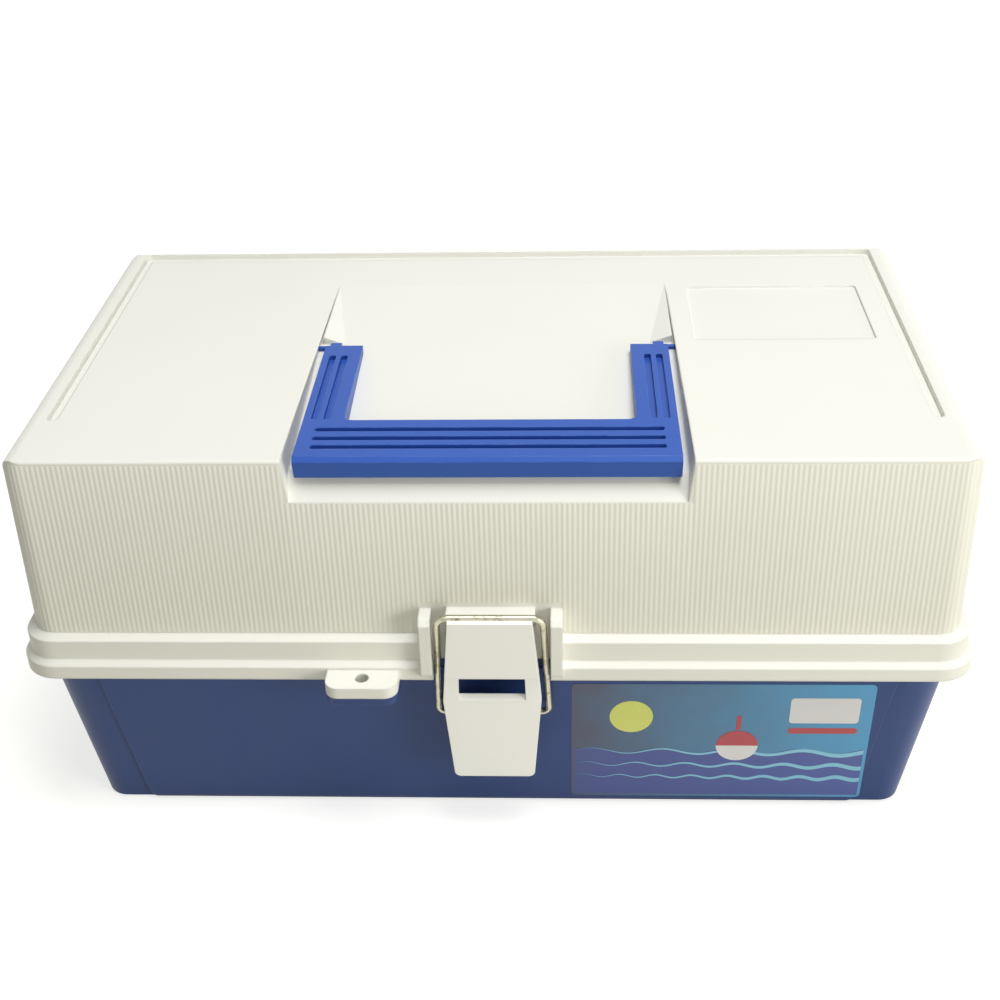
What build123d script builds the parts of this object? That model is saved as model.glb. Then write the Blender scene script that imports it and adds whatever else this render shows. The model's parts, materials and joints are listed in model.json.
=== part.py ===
from build123d import *
import math
import os

# Overall size: over the bead of the lid's skirt, and from the foot of the base to the lid's top
OVERALL_LENGTH = 350.0
OVERALL_WIDTH = 200.0
OVERALL_HEIGHT = 162.0

# Walls, clearances, and the overrun that every cut has
WALL = 2.5
SLIDE_GAP = 0.3
SKIRT_GAP = 0.5
PIN_GAP = 0.05
OPEN_PIVOT_GAP = 0.15
OVERRUN = 2.0

# Lid skirt: a bead round the rim, a slope above it and an upright band up to the flange
SKIRT_BOTTOM = 73.5
BEAD_HEIGHT = 5.3
BEAD_SLOPE_HEIGHT = 2.0
BEAD_RADIUS = 14.0
BAND_INSET = 2.3
BAND_HEIGHT = 9.5

# Lid walls and top
LID_FOOT_INSET = 5.9
LID_TOP_INSET = 6.7
LID_CORNER_RADIUS = 9.0
LID_SIDE_RADIUS = 6.0
LID_FRONT_RADIUS = 1.2
LID_REAR_RADIUS = 2.5
LID_INNER_RADIUS = 1.0
LID_OUTLINE_EASE = 0.02

# U-shaped groove and shallow panel on the lid's top
GROOVE_WIDTH = 4.0
GROOVE_DEPTH = 1.3
GROOVE_SIDE_INSET = 10.8
GROOVE_REAR_INSET = 7.0
GROOVE_FRONT_INSET = 31.7
PLAQUE_RECESS_GAP = 8.3
PLAQUE_GROOVE_GAP = 8.5
PLAQUE_REAR_GAP = 33.3
PLAQUE_WIDTH = 51.0
PLAQUE_DEPTH = 0.8
PLAQUE_CORNER_RADIUS = 1.5

# Handle recess: its floor slopes from flush at the rear to its depth, and a bevelled lip opens it
RECESS_HALF_LENGTH = 68.5
RECESS_WALL = 3.0
RECESS_DEPTH = 9.0
RECESS_REAR_INSET = 45.0
RECESS_LIP_WIDTH = 7.3

# Carry handle
HANDLE_SIDE_GAP = 2.0
HANDLE_FLOOR_GAP = 0.4
HANDLE_TOP_DROP = 0.2
HANDLE_FRONT_INSET = 2.0
HANDLE_FRONT_BEVEL = 1.6
GRIP_WIDTH = 27.5
HANDLE_ARM_WIDTH = 14.5
HANDLE_CORNER_RADIUS = 3.0
HANDLE_ARM_END_GAP = 2.6
HANDLE_REACH = 92.8
HANDLE_PIVOT_DROP = 2.7
HANDLE_TAB_RADIUS = 2.2
HANDLE_TAB_WIDTH = 4.0
HANDLE_TAB_INSET = 1.6
HANDLE_PIN_RADIUS = 1.0
HANDLE_PIN_SEAT = 1.8
HANDLE_GROOVE_WIDTH = 1.8
HANDLE_GROOVE_DEPTH = 1.1
GRIP_GROOVE_SHARES = (0.25, 0.48, 0.70)
GRIP_GROOVE_END_INSET = 9.0
ARM_GROOVE_SHARES = (0.27, 0.58)
ARM_GROOVE_END_INSET = 9.5
ARM_GROOVE_GRIP_GAP = 1.5

# Base tub
BASE_FOOT_INSET = 16.4
BASE_SHOULDER_INSET = 10.0
BASE_FLOOR = 2.5
BASE_FOOT_RADIUS = 9.0
BASE_EDGE_CHAMFER = 1.2
LIP_HEIGHT = 4.0
PANEL_PROUD = 1.0
PANEL_SIDE_INSET = 20.0
PANEL_FOOT_GAP = 5.5
PANEL_SKIRT_GAP = 1.2
PANEL_CORNER_RADIUS = 3.0
FOOT_RIDGE_WIDTH = 4.0
FOOT_RIDGE_INSET = 6.0
FOOT_RECESS_DEPTH = 0.8

# Padlock lugs on lid and base, with one hole through both
LUG_CENTRE_X = -46.9
LUG_LENGTH = 26.3
LUG_REACH = 11.0
LUG_THICKNESS = 4.5
LUG_CORNER_RADIUS = 5.0
LUG_HOLE_RADIUS = 2.5
LUG_HOLE_REACH = 4.7
BASE_LUG_THICKNESS = 3.5
BASE_LUG_SETBACK = 1.0

# Rear hinges: five knuckles each, base and lid in turn, on a steel pin
HINGE_END_INSET = 75.0
KNUCKLE_RADIUS = 4.0
KNUCKLE_WIDTH = 9.0
KNUCKLE_COUNT = 5
KNUCKLE_GAP = 0.4
HINGE_RISE = 3.5
HINGE_PIN_RADIUS = 1.5
HINGE_WEB_DROP = 17.0

# Latch: wire bail on a boss of the base, lever on the bail's crossbar, catch ledge on the lid
BAIL_WIRE_RADIUS = 1.0
BAIL_HALF_WIDTH = 20.0
BAIL_PIVOT_Z = 53.0
BAIL_PIVOT_REACH = 4.4
BAIL_END_LENGTH = 2.5
BAIL_FOOT_BEND = 3.0
BAIL_TOP_BEND = 4.0
CROSSBAR_Z = 103.5
CROSSBAR_REACH = 3.0
BAIL_BOSS_HALF_LENGTH = 13.5
BAIL_BOSS_RADIUS = 3.9
LEVER_TIP_Z = 28.6
LEVER_STEP_Z = 77.4
LEVER_STEP = 0.8
LEVER_THICKNESS = 3.0
LEVER_CHEEK_DEPTH = 2.4
LEVER_CHEEK_WIDTH = 2.0
LEVER_CHEEK_END_Z = 62.0
LEVER_BARREL_RADIUS = 2.2
LEVER_TOP_FACE = 3.6
LEVER_TIP_REACH = 1.6
LEVER_TOP_HALF_WIDTH = 16.2
LEVER_MID_HALF_WIDTH = 18.0
LEVER_MID_Z = 66.0
LEVER_TIP_HALF_WIDTH = 15.0
LEVER_CORNER_RADIUS = 2.5
LEVER_SLOT_HALF_LENGTH = 12.3
LEVER_SLOT_HEIGHT = 7.0
LATCH_POST_GAP = 0.4
LATCH_POST_WIDTH = 4.3
LATCH_POST_REACH = 3.0
LATCH_POST_BOTTOM_RISE = 2.5
LATCH_POST_RISE = 17.0
LATCH_POST_CHAMFER = 2.0
LATCH_BAY_WALL = 2.0
LATCH_BAY_DEPTH = 6.0
LEDGE_HALF_LENGTH = 16.0
LEDGE_THICKNESS = 3.0
LEDGE_WEB = 6.5
LEDGE_GAP = 1.9
LEDGE_TOP_RISE = 2.5

# Tray arms: plates on pins in bosses of the base's end walls
ARM_THICKNESS = 3.0
ARM_HALF_WIDTH = 4.2
ARM_PIN_RADIUS = 2.0
ARM_SIDE_GAP = 0.4
ARM_BOSS_RADIUS = 5.0
ARM_PIN_SEAT = 4.0
SHORT_ARM_REAR_INSET = 30.0
LOWER_ARM_REACH = 46.0
LOWER_ARM_DROP = 2.0
UPPER_ARM_REACH = 80.0
LID_BOSS_RADIUS = 4.0

# Trays and their dividers
TRAY_END_INSET = 25.0
TRAY_WALL = 2.0
TRAY_CORNER_RADIUS = 5.0
TRAY_FRONT_INSET = 16.0
LOWER_TRAY_REAR_INSET = 34.0
LOWER_TRAY_HEIGHT = 32.0
LOWER_TRAY_RIM_DROP = 3.5
UPPER_TRAY_REAR_INSET = 38.0
UPPER_TRAY_HEIGHT = 28.5
UPPER_TRAY_GAP = 4.5
UPPER_PIVOT_HEIGHT = 4.5
UPPER_PIVOT_INSET = 18.0
DIVIDER_THICKNESS = 1.5
DIVIDER_DROP = 2.0
LOWER_ROW_SHARE = 0.42
UPPER_ROW_SHARE = 0.5
LOWER_FRONT_SHARES = (0.2, 0.4, 0.6, 0.8)
LOWER_REAR_SHARES = (0.333, 0.667)
UPPER_FRONT_SHARES = (0.25, 0.5, 0.75)
UPPER_REAR_SHARES = (0.333, 0.667)

# Heights and places that follow from the sizes above
BEAD_TOP = SKIRT_BOTTOM + BEAD_HEIGHT
BAND_BOTTOM = BEAD_TOP + BEAD_SLOPE_HEIGHT
FLANGE_TOP = BAND_BOTTOM + BAND_HEIGHT
FLANGE_UNDER = FLANGE_TOP - WALL
RIM_TOP = FLANGE_UNDER - SLIDE_GAP
BAND_INNER_INSET = BAND_INSET + WALL
LIP_INSET = BAND_INNER_INSET + SKIRT_GAP
HALF_LENGTH = OVERALL_LENGTH / 2
HALF_WIDTH = OVERALL_WIDTH / 2
BASE_SLOPE = (BASE_FOOT_INSET - BASE_SHOULDER_INSET) / SKIRT_BOTTOM
BASE_DRAFT = math.degrees(math.atan(BASE_SLOPE))
LID_FRONT_Y = LID_TOP_INSET - HALF_WIDTH
GROOVE_SIDE_X = HALF_LENGTH - LID_TOP_INSET - GROOVE_SIDE_INSET
GROOVE_REAR_Y = HALF_WIDTH - LID_TOP_INSET - GROOVE_REAR_INSET
RECESS_REAR_Y = HALF_WIDTH - RECESS_REAR_INSET
RECESS_LIP_Y = LID_FRONT_Y + RECESS_LIP_WIDTH
HANDLE_PIVOT_Y = LID_FRONT_Y + HANDLE_REACH
HINGE_Y = HALF_WIDTH + KNUCKLE_RADIUS + SLIDE_GAP
HINGE_Z = SKIRT_BOTTOM + HINGE_RISE
TRAY_HALF_LENGTH = HALF_LENGTH - TRAY_END_INSET
TRAY_FRONT_Y = TRAY_FRONT_INSET - HALF_WIDTH
LOWER_TRAY_REAR_Y = HALF_WIDTH - LOWER_TRAY_REAR_INSET
UPPER_TRAY_REAR_Y = HALF_WIDTH - UPPER_TRAY_REAR_INSET
LONG_ARM_PIVOT_Y = TRAY_FRONT_Y + UPPER_PIVOT_INSET + UPPER_ARM_REACH
SHORT_ARM_PIVOT_Y = HALF_WIDTH - SHORT_ARM_REAR_INSET
ARM_INNER_X = TRAY_HALF_LENGTH + ARM_SIDE_GAP
ARM_OUTER_X = ARM_INNER_X + ARM_THICKNESS
LOWER_TRAY_TOP = RIM_TOP - LOWER_TRAY_RIM_DROP
LOWER_TRAY_BOTTOM = LOWER_TRAY_TOP - LOWER_TRAY_HEIGHT
UPPER_TRAY_BOTTOM = LOWER_TRAY_TOP + UPPER_TRAY_GAP
UPPER_TRAY_TOP = UPPER_TRAY_BOTTOM + UPPER_TRAY_HEIGHT
LOWER_PIVOT_Z = HINGE_Z - LOWER_ARM_DROP
UPPER_PIVOT_Z = UPPER_TRAY_BOTTOM + UPPER_PIVOT_HEIGHT
LONG_ARM_PIVOT = (LONG_ARM_PIVOT_Y, HINGE_Z)
SHORT_ARM_PIVOT = (SHORT_ARM_PIVOT_Y, HINGE_Z)
LOWER_FRONT_PIVOT = (LONG_ARM_PIVOT_Y - LOWER_ARM_REACH, LOWER_PIVOT_Z)
LOWER_REAR_PIVOT = (SHORT_ARM_PIVOT_Y - LOWER_ARM_REACH, LOWER_PIVOT_Z)
UPPER_FRONT_PIVOT = (LONG_ARM_PIVOT_Y - UPPER_ARM_REACH, UPPER_PIVOT_Z)
UPPER_REAR_PIVOT = (HINGE_Y - UPPER_ARM_REACH, UPPER_PIVOT_Z)
HANDLE_PIVOT_Z = OVERALL_HEIGHT - HANDLE_PIVOT_DROP
BASE_FRONT_Y = BASE_SHOULDER_INSET - HALF_WIDTH
LATCH_BAY_Y = LATCH_BAY_DEPTH - HALF_WIDTH
CROSSBAR_Y = -HALF_WIDTH - CROSSBAR_REACH
LATCH_POST_INNER_X = BAIL_HALF_WIDTH + BAIL_WIRE_RADIUS + LATCH_POST_GAP
LATCH_POST_OUTER_X = LATCH_POST_INNER_X + LATCH_POST_WIDTH


def base_inset(height):
    """Inset of the base's drafted wall from the overall plan at a height."""
    return BASE_FOOT_INSET - height * BASE_SLOPE


def plan_block(inset, radius, low, high, taper=0.0):
    """Block with rounded upright edges, inset from the overall plan."""
    outline = RectangleRounded(OVERALL_LENGTH - 2 * inset, OVERALL_WIDTH - 2 * inset, radius)
    return extrude(Plane.XY.offset(low) * outline, amount=high - low, taper=taper)


def block(low, high):
    """Box from its lowest to its highest corner."""
    size = [end - start for start, end in zip(low, high)]
    return Pos(*low) * Box(*size, align=(Align.MIN, Align.MIN, Align.MIN))


def side_prism(points, left, right):
    """Outline in the upright plane across the box, carried along its length."""
    outline = make_face(Polyline(*points, close=True))
    return extrude(Plane.YZ.offset(left) * outline, amount=right - left)


def cross_bar(place, radius, left, right):
    """Round bar along the box's length."""
    return extrude(Plane.YZ.offset(left) * (Pos(*place) * Circle(radius)), amount=right - left)


def link(points, radius):
    """Flat outline of a bar with rounded ends through the points."""
    outline = Sketch()
    for start, end in zip(points, points[1:]):
        ends = [Pos(*place) * Circle(radius) for place in (start, end)]
        outline += make_hull(ends[0].edges() + ends[1].edges())
    return outline


def both_sides(shape):
    """Shape with its twin at the other end of the box."""
    return shape + mirror(shape, about=Plane.YZ)


def lug(reach, low, high, root_y):
    """Padlock lug with rounded front corners and its hole."""
    front_y = -HALF_WIDTH - reach
    outline = Pos(LUG_CENTRE_X, (front_y + root_y) / 2) * Rectangle(LUG_LENGTH, root_y - front_y)
    outline = fillet(outline.vertices().group_by(Axis.Y)[0], LUG_CORNER_RADIUS)
    hole = Pos(LUG_CENTRE_X, -HALF_WIDTH - LUG_HOLE_REACH) * Circle(LUG_HOLE_RADIUS)
    return extrude(Plane.XY.offset(low) * (outline - hole), amount=high - low)


def knuckle_spans():
    """Start and end of every knuckle of one hinge along the box, from left to right."""
    pitch = KNUCKLE_WIDTH + KNUCKLE_GAP
    start = HALF_LENGTH - HINGE_END_INSET - (KNUCKLE_COUNT * pitch - KNUCKLE_GAP) / 2
    return [(start + i * pitch, start + i * pitch + KNUCKLE_WIDTH) for i in range(KNUCKLE_COUNT)]


def knuckles(web, spans):
    """Barrels on their webs, bored for the hinge pin."""
    shape = Part()
    for left, right in spans:
        shape += side_prism(web, left, right)
        shape += cross_bar((HINGE_Y, HINGE_Z), KNUCKLE_RADIUS, left, right)
    ends = (spans[0][0] - OVERRUN, spans[-1][1] + OVERRUN)
    return shape - cross_bar((HINGE_Y, HINGE_Z), HINGE_PIN_RADIUS + PIN_GAP, *ends)


def base_panel():
    """Raised panel on the front wall, in the plane of the draft."""
    draft = math.radians(BASE_DRAFT)
    outward = (0, -math.cos(draft), -math.sin(draft))
    wall = Plane(origin=(0, BASE_FOOT_INSET - HALF_WIDTH, 0), x_dir=(1, 0, 0), z_dir=outward)
    low = PANEL_FOOT_GAP / math.cos(draft)
    high = (SKIRT_BOTTOM - PANEL_SKIRT_GAP) / math.cos(draft)
    low_half = HALF_LENGTH - base_inset(PANEL_FOOT_GAP) - PANEL_SIDE_INSET
    high_half = HALF_LENGTH - base_inset(SKIRT_BOTTOM - PANEL_SKIRT_GAP) - PANEL_SIDE_INSET
    points = [(-low_half, low), (low_half, low), (high_half, high), (-high_half, high)]
    outline = make_face(Polyline(*points, close=True))
    outline = fillet(outline.vertices(), PANEL_CORNER_RADIUS)
    return extrude(wall.offset(-WALL / 2) * outline, amount=WALL / 2 + PANEL_PROUD)


def base_tub():
    """Drafted tub with its rim lip, panels, padlock lug, hinge knuckles and pivot bosses."""
    tub = plan_block(BASE_FOOT_INSET, BASE_FOOT_RADIUS, 0, RIM_TOP, -BASE_DRAFT)
    tub = chamfer(tub.faces().sort_by(Axis.Z)[0].edges(), BASE_EDGE_CHAMFER)
    lip = plan_block(LIP_INSET, BEAD_RADIUS - LIP_INSET, RIM_TOP - LIP_HEIGHT, RIM_TOP)
    bay_x = LATCH_POST_OUTER_X + OVERRUN
    lip -= block((-bay_x, -HALF_WIDTH, 0), (bay_x, base_inset(RIM_TOP) - HALF_WIDTH, OVERALL_HEIGHT))
    panel = base_panel()
    tub = tub + lip + panel + mirror(panel, about=Plane.XZ)
    web_top = SKIRT_BOTTOM - SLIDE_GAP * 2
    wall_y = HALF_WIDTH - base_inset(SKIRT_BOTTOM) - WALL
    web = [
        (wall_y, web_top),
        (HALF_WIDTH, web_top),
        (HINGE_Y, HINGE_Z),
        (HINGE_Y + KNUCKLE_RADIUS * math.cos(math.pi / 4), HINGE_Z - KNUCKLE_RADIUS * math.sin(math.pi / 4)),
        (wall_y, web_top - HINGE_WEB_DROP),
    ]
    tub += both_sides(knuckles(web, knuckle_spans()[0::2]))
    lug_top = SKIRT_BOTTOM - SLIDE_GAP
    tub += lug(LUG_REACH - BASE_LUG_SETBACK, lug_top - BASE_LUG_THICKNESS, lug_top, BASE_FRONT_Y + WALL / 2)
    boss_end = HALF_LENGTH - base_inset(HINGE_Z) - WALL / 2
    for place in (LONG_ARM_PIVOT, SHORT_ARM_PIVOT):
        tub += both_sides(cross_bar(place, ARM_BOSS_RADIUS, ARM_OUTER_X + ARM_SIDE_GAP, boss_end))
    pivot = (bail_pivot_y(), BAIL_PIVOT_Z)
    boss_root = base_inset(BAIL_PIVOT_Z) - HALF_WIDTH + WALL / 2
    boss = cross_bar(pivot, BAIL_BOSS_RADIUS, -BAIL_BOSS_HALF_LENGTH, BAIL_BOSS_HALF_LENGTH)
    foot = [
        (pivot[0], pivot[1] + BAIL_BOSS_RADIUS),
        (boss_root, pivot[1] + BAIL_BOSS_RADIUS * 2),
        (boss_root, pivot[1] - BAIL_BOSS_RADIUS * 2),
        (pivot[0], pivot[1] - BAIL_BOSS_RADIUS),
    ]
    tub = tub + boss + side_prism(foot, -BAIL_BOSS_HALF_LENGTH, BAIL_BOSS_HALF_LENGTH)
    tub -= base_cavity()
    tub -= base_foot_recess()
    for place in (LONG_ARM_PIVOT, SHORT_ARM_PIVOT):
        seat = ARM_OUTER_X + ARM_SIDE_GAP + ARM_PIN_SEAT
        tub -= both_sides(cross_bar(place, ARM_PIN_RADIUS + PIN_GAP, ARM_INNER_X, seat))
    hole_end = BAIL_BOSS_HALF_LENGTH + OVERRUN
    return tub - cross_bar(pivot, BAIL_WIRE_RADIUS + PIN_GAP, -hole_end, hole_end)


def base_cavity():
    """Inside of the tub, open at the rim; the arm bosses stay."""
    inset = base_inset(BASE_FLOOR) + WALL
    radius = BASE_FOOT_RADIUS + BASE_FLOOR * BASE_SLOPE - WALL
    cavity = plan_block(inset, radius, BASE_FLOOR, RIM_TOP + OVERRUN, -BASE_DRAFT)
    for place in (LONG_ARM_PIVOT, SHORT_ARM_PIVOT):
        cavity -= both_sides(cross_bar(place, ARM_BOSS_RADIUS, ARM_OUTER_X + ARM_SIDE_GAP, HALF_LENGTH))
    return cavity


def base_foot_recess():
    """Shallow recess inside the ridge that the tub stands on."""
    inset = BASE_FOOT_INSET + FOOT_RIDGE_INSET + FOOT_RIDGE_WIDTH
    return plan_block(inset, BASE_FOOT_RADIUS, -OVERRUN, FOOT_RECESS_DEPTH)


def bail_pivot_y():
    """Depth of the bail's pivot in front of the base's wall."""
    return base_inset(BAIL_PIVOT_Z) - HALF_WIDTH - BAIL_PIVOT_REACH


def trapezoid(low_half, high_half, low, high):
    """Corners of an upright outline from its half width at the foot and at the top."""
    return [(-low_half, low), (low_half, low), (high_half, high), (-high_half, high)]


def lid_form(inset, low, high, corner_radius, side_radius, front_radius, rear_radius):
    """Lid body: its plan, its front outline and its side outline, each rounded, have this in common."""
    rise = OVERALL_HEIGHT - FLANGE_TOP
    slope = (LID_TOP_INSET - LID_FOOT_INSET) / rise
    foot = LID_FOOT_INSET + inset - slope * (FLANGE_TOP - low)
    top = foot + slope * (high - low)
    plan = plan_block(foot, corner_radius, low, high, math.degrees(math.atan(slope)))
    foot -= LID_OUTLINE_EASE
    top -= LID_OUTLINE_EASE
    under = low - OVERRUN
    front = make_face(Polyline(*trapezoid(HALF_LENGTH - foot, HALF_LENGTH - top, under, high), close=True))
    front = fillet(front.vertices().group_by(Axis.Y)[-1], side_radius)
    side = make_face(Polyline(*trapezoid(HALF_WIDTH - foot, HALF_WIDTH - top, under, high), close=True))
    side = fillet(side.vertices().group_by(Axis.Y)[-1].sort_by(Axis.X)[0], front_radius)
    side = fillet(side.vertices().group_by(Axis.Y)[-1].sort_by(Axis.X)[-1], rear_radius)
    form = plan & extrude(Plane.XZ * front, amount=OVERALL_WIDTH, both=True)
    return form & extrude(Plane.YZ * side, amount=OVERALL_LENGTH, both=True)


def recess_prism(drop, half_length):
    """Space of the handle recess, with its floor lowered by a drop."""
    floor_z = OVERALL_HEIGHT - RECESS_DEPTH - drop
    run = RECESS_LIP_WIDTH + OVERRUN
    points = [
        (RECESS_REAR_Y, OVERALL_HEIGHT - drop),
        (RECESS_LIP_Y, floor_z),
        (RECESS_LIP_Y - run, floor_z - run),
        (RECESS_LIP_Y - run, OVERALL_HEIGHT + OVERRUN),
        (RECESS_REAR_Y, OVERALL_HEIGHT + OVERRUN),
    ]
    return side_prism(points, -half_length, half_length)


def handle_tab_span():
    """Inner and outer end of the handle's pivot tab at the right-hand end."""
    outer = RECESS_HALF_LENGTH - HANDLE_SIDE_GAP - HANDLE_TAB_INSET
    return outer - HANDLE_TAB_WIDTH, outer


def lid_shell():
    """Lid with its skirt, recess, groove, panel, catch, posts, padlock lug, knuckles and studs."""
    slope_taper = math.degrees(math.atan(BAND_INSET / BEAD_SLOPE_HEIGHT))
    shell = plan_block(0, BEAD_RADIUS, SKIRT_BOTTOM, BEAD_TOP)
    shell += plan_block(0, BEAD_RADIUS, BEAD_TOP, BAND_BOTTOM, slope_taper)
    shell += plan_block(BAND_INSET, BEAD_RADIUS - BAND_INSET, BAND_BOTTOM, FLANGE_TOP)
    shell += lid_form(
        0, FLANGE_UNDER, OVERALL_HEIGHT, LID_CORNER_RADIUS, LID_SIDE_RADIUS, LID_FRONT_RADIUS, LID_REAR_RADIUS
    )
    shell -= recess_prism(0, RECESS_HALF_LENGTH)
    shell -= plan_block(WALL, BEAD_RADIUS - WALL, SKIRT_BOTTOM - OVERRUN, BEAD_TOP)
    shell -= plan_block(BAND_INNER_INSET, BEAD_RADIUS - BAND_INNER_INSET, SKIRT_BOTTOM, FLANGE_UNDER)
    shell -= lid_cavity()
    shell += latch_bay()
    shell += lug(LUG_REACH, SKIRT_BOTTOM, SKIRT_BOTTOM + LUG_THICKNESS, WALL / 2 - HALF_WIDTH)
    shell -= block((-LATCH_POST_INNER_X, -OVERALL_WIDTH, 0), (LATCH_POST_INNER_X, LATCH_BAY_Y, FLANGE_TOP))
    shell += catch_ledge()
    web = [
        (HALF_WIDTH - WALL, HINGE_Z - KNUCKLE_RADIUS / 2),
        (HINGE_Y, HINGE_Z - KNUCKLE_RADIUS / 2),
        (HINGE_Y, HINGE_Z + KNUCKLE_RADIUS),
        (HALF_WIDTH - BAND_INSET, FLANGE_TOP - WALL),
        (HALF_WIDTH - BAND_INSET - WALL / 2, FLANGE_TOP - WALL),
    ]
    shell += both_sides(knuckles(web, knuckle_spans()[1::2]))
    stud_end = HALF_LENGTH - LID_FOOT_INSET - WALL / 2
    shell += both_sides(cross_bar(UPPER_REAR_PIVOT, LID_BOSS_RADIUS, ARM_INNER_X, stud_end))
    stud_seat = ARM_INNER_X + ARM_PIN_SEAT
    shell -= both_sides(cross_bar(UPPER_REAR_PIVOT, ARM_PIN_RADIUS + PIN_GAP, TRAY_HALF_LENGTH, stud_seat))
    shell -= lid_groove()
    shell -= lid_plaque()
    return shell - both_sides(handle_pocket())


def lid_cavity():
    """Inside of the lid, less the handle recess and its walls."""
    top = OVERALL_HEIGHT - WALL
    cavity = lid_form(
        WALL,
        FLANGE_UNDER - OVERRUN,
        top,
        LID_CORNER_RADIUS - WALL,
        LID_SIDE_RADIUS - WALL,
        LID_INNER_RADIUS,
        LID_INNER_RADIUS,
    )
    return cavity - recess_prism(RECESS_WALL, RECESS_HALF_LENGTH + RECESS_WALL)


def lid_groove():
    """U-shaped groove along the sides and the rear of the lid's top."""
    front_y = LID_FRONT_Y + GROOVE_FRONT_INSET
    points = [
        (-GROOVE_SIDE_X, front_y),
        (-GROOVE_SIDE_X, GROOVE_REAR_Y),
        (GROOVE_SIDE_X, GROOVE_REAR_Y),
        (GROOVE_SIDE_X, front_y),
    ]
    outline = link(points, GROOVE_WIDTH / 2)
    return extrude(Plane.XY.offset(OVERALL_HEIGHT - GROOVE_DEPTH) * outline, amount=GROOVE_DEPTH + OVERRUN)


def lid_plaque():
    """Shallow panel between the handle recess and the groove, on the right of the lid's top."""
    left = RECESS_HALF_LENGTH + PLAQUE_RECESS_GAP
    right = GROOVE_SIDE_X - GROOVE_WIDTH / 2 - PLAQUE_GROOVE_GAP
    rear = GROOVE_REAR_Y - GROOVE_WIDTH / 2 - PLAQUE_REAR_GAP
    outline = RectangleRounded(right - left, PLAQUE_WIDTH, PLAQUE_CORNER_RADIUS)
    outline = Pos((left + right) / 2, rear - PLAQUE_WIDTH / 2) * outline
    return extrude(Plane.XY.offset(OVERALL_HEIGHT - PLAQUE_DEPTH) * outline, amount=PLAQUE_DEPTH + OVERRUN)


def handle_pocket():
    """Pocket in the recess floor for the handle's pivot tab, and the bore of its pin."""
    tab = handle_tab_span()
    reach = HANDLE_TAB_RADIUS + HANDLE_FLOOR_GAP
    low = (tab[0] - HANDLE_FLOOR_GAP, HANDLE_PIVOT_Y - reach, HANDLE_PIVOT_Z - reach)
    high = (tab[1] + HANDLE_FLOOR_GAP, HANDLE_PIVOT_Y + reach, OVERALL_HEIGHT)
    bore_end = RECESS_HALF_LENGTH + HANDLE_PIN_SEAT
    pin = cross_bar((HANDLE_PIVOT_Y, HANDLE_PIVOT_Z), HANDLE_PIN_RADIUS + PIN_GAP, tab[1], bore_end)
    return block(low, high) + pin


def latch_bay():
    """Back wall of the latch bay and the post at each end of it."""
    root_y = LATCH_BAY_Y + LATCH_BAY_WALL
    low_z = SKIRT_BOTTOM + LATCH_POST_BOTTOM_RISE
    bay = block((-LATCH_POST_OUTER_X, LATCH_BAY_Y, BEAD_TOP), (LATCH_POST_OUTER_X, root_y, FLANGE_TOP))
    front_y = -HALF_WIDTH - LATCH_POST_REACH
    top_z = FLANGE_TOP + LATCH_POST_RISE
    points = [
        (root_y, low_z),
        (front_y + LATCH_POST_CHAMFER, low_z),
        (front_y, low_z + LATCH_POST_CHAMFER),
        (front_y, top_z - LATCH_POST_CHAMFER),
        (front_y + LATCH_POST_CHAMFER, top_z),
        (root_y, top_z),
    ]
    return bay + both_sides(side_prism(points, LATCH_POST_INNER_X, LATCH_POST_OUTER_X))


def catch_ledge():
    """Ledge that the lever's top hooks over, with its sloping web."""
    root_y = LID_FOOT_INSET + WALL / 2 - HALF_WIDTH
    front_y = CROSSBAR_Y + LEVER_BARREL_RADIUS + LEDGE_GAP
    top_z = CROSSBAR_Z + LEDGE_TOP_RISE
    points = [
        (root_y, top_z),
        (front_y, top_z),
        (front_y, top_z - LEDGE_THICKNESS),
        (root_y, top_z - LEDGE_THICKNESS - LEDGE_WEB),
    ]
    return side_prism(points, -LEDGE_HALF_LENGTH, LEDGE_HALF_LENGTH)


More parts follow.
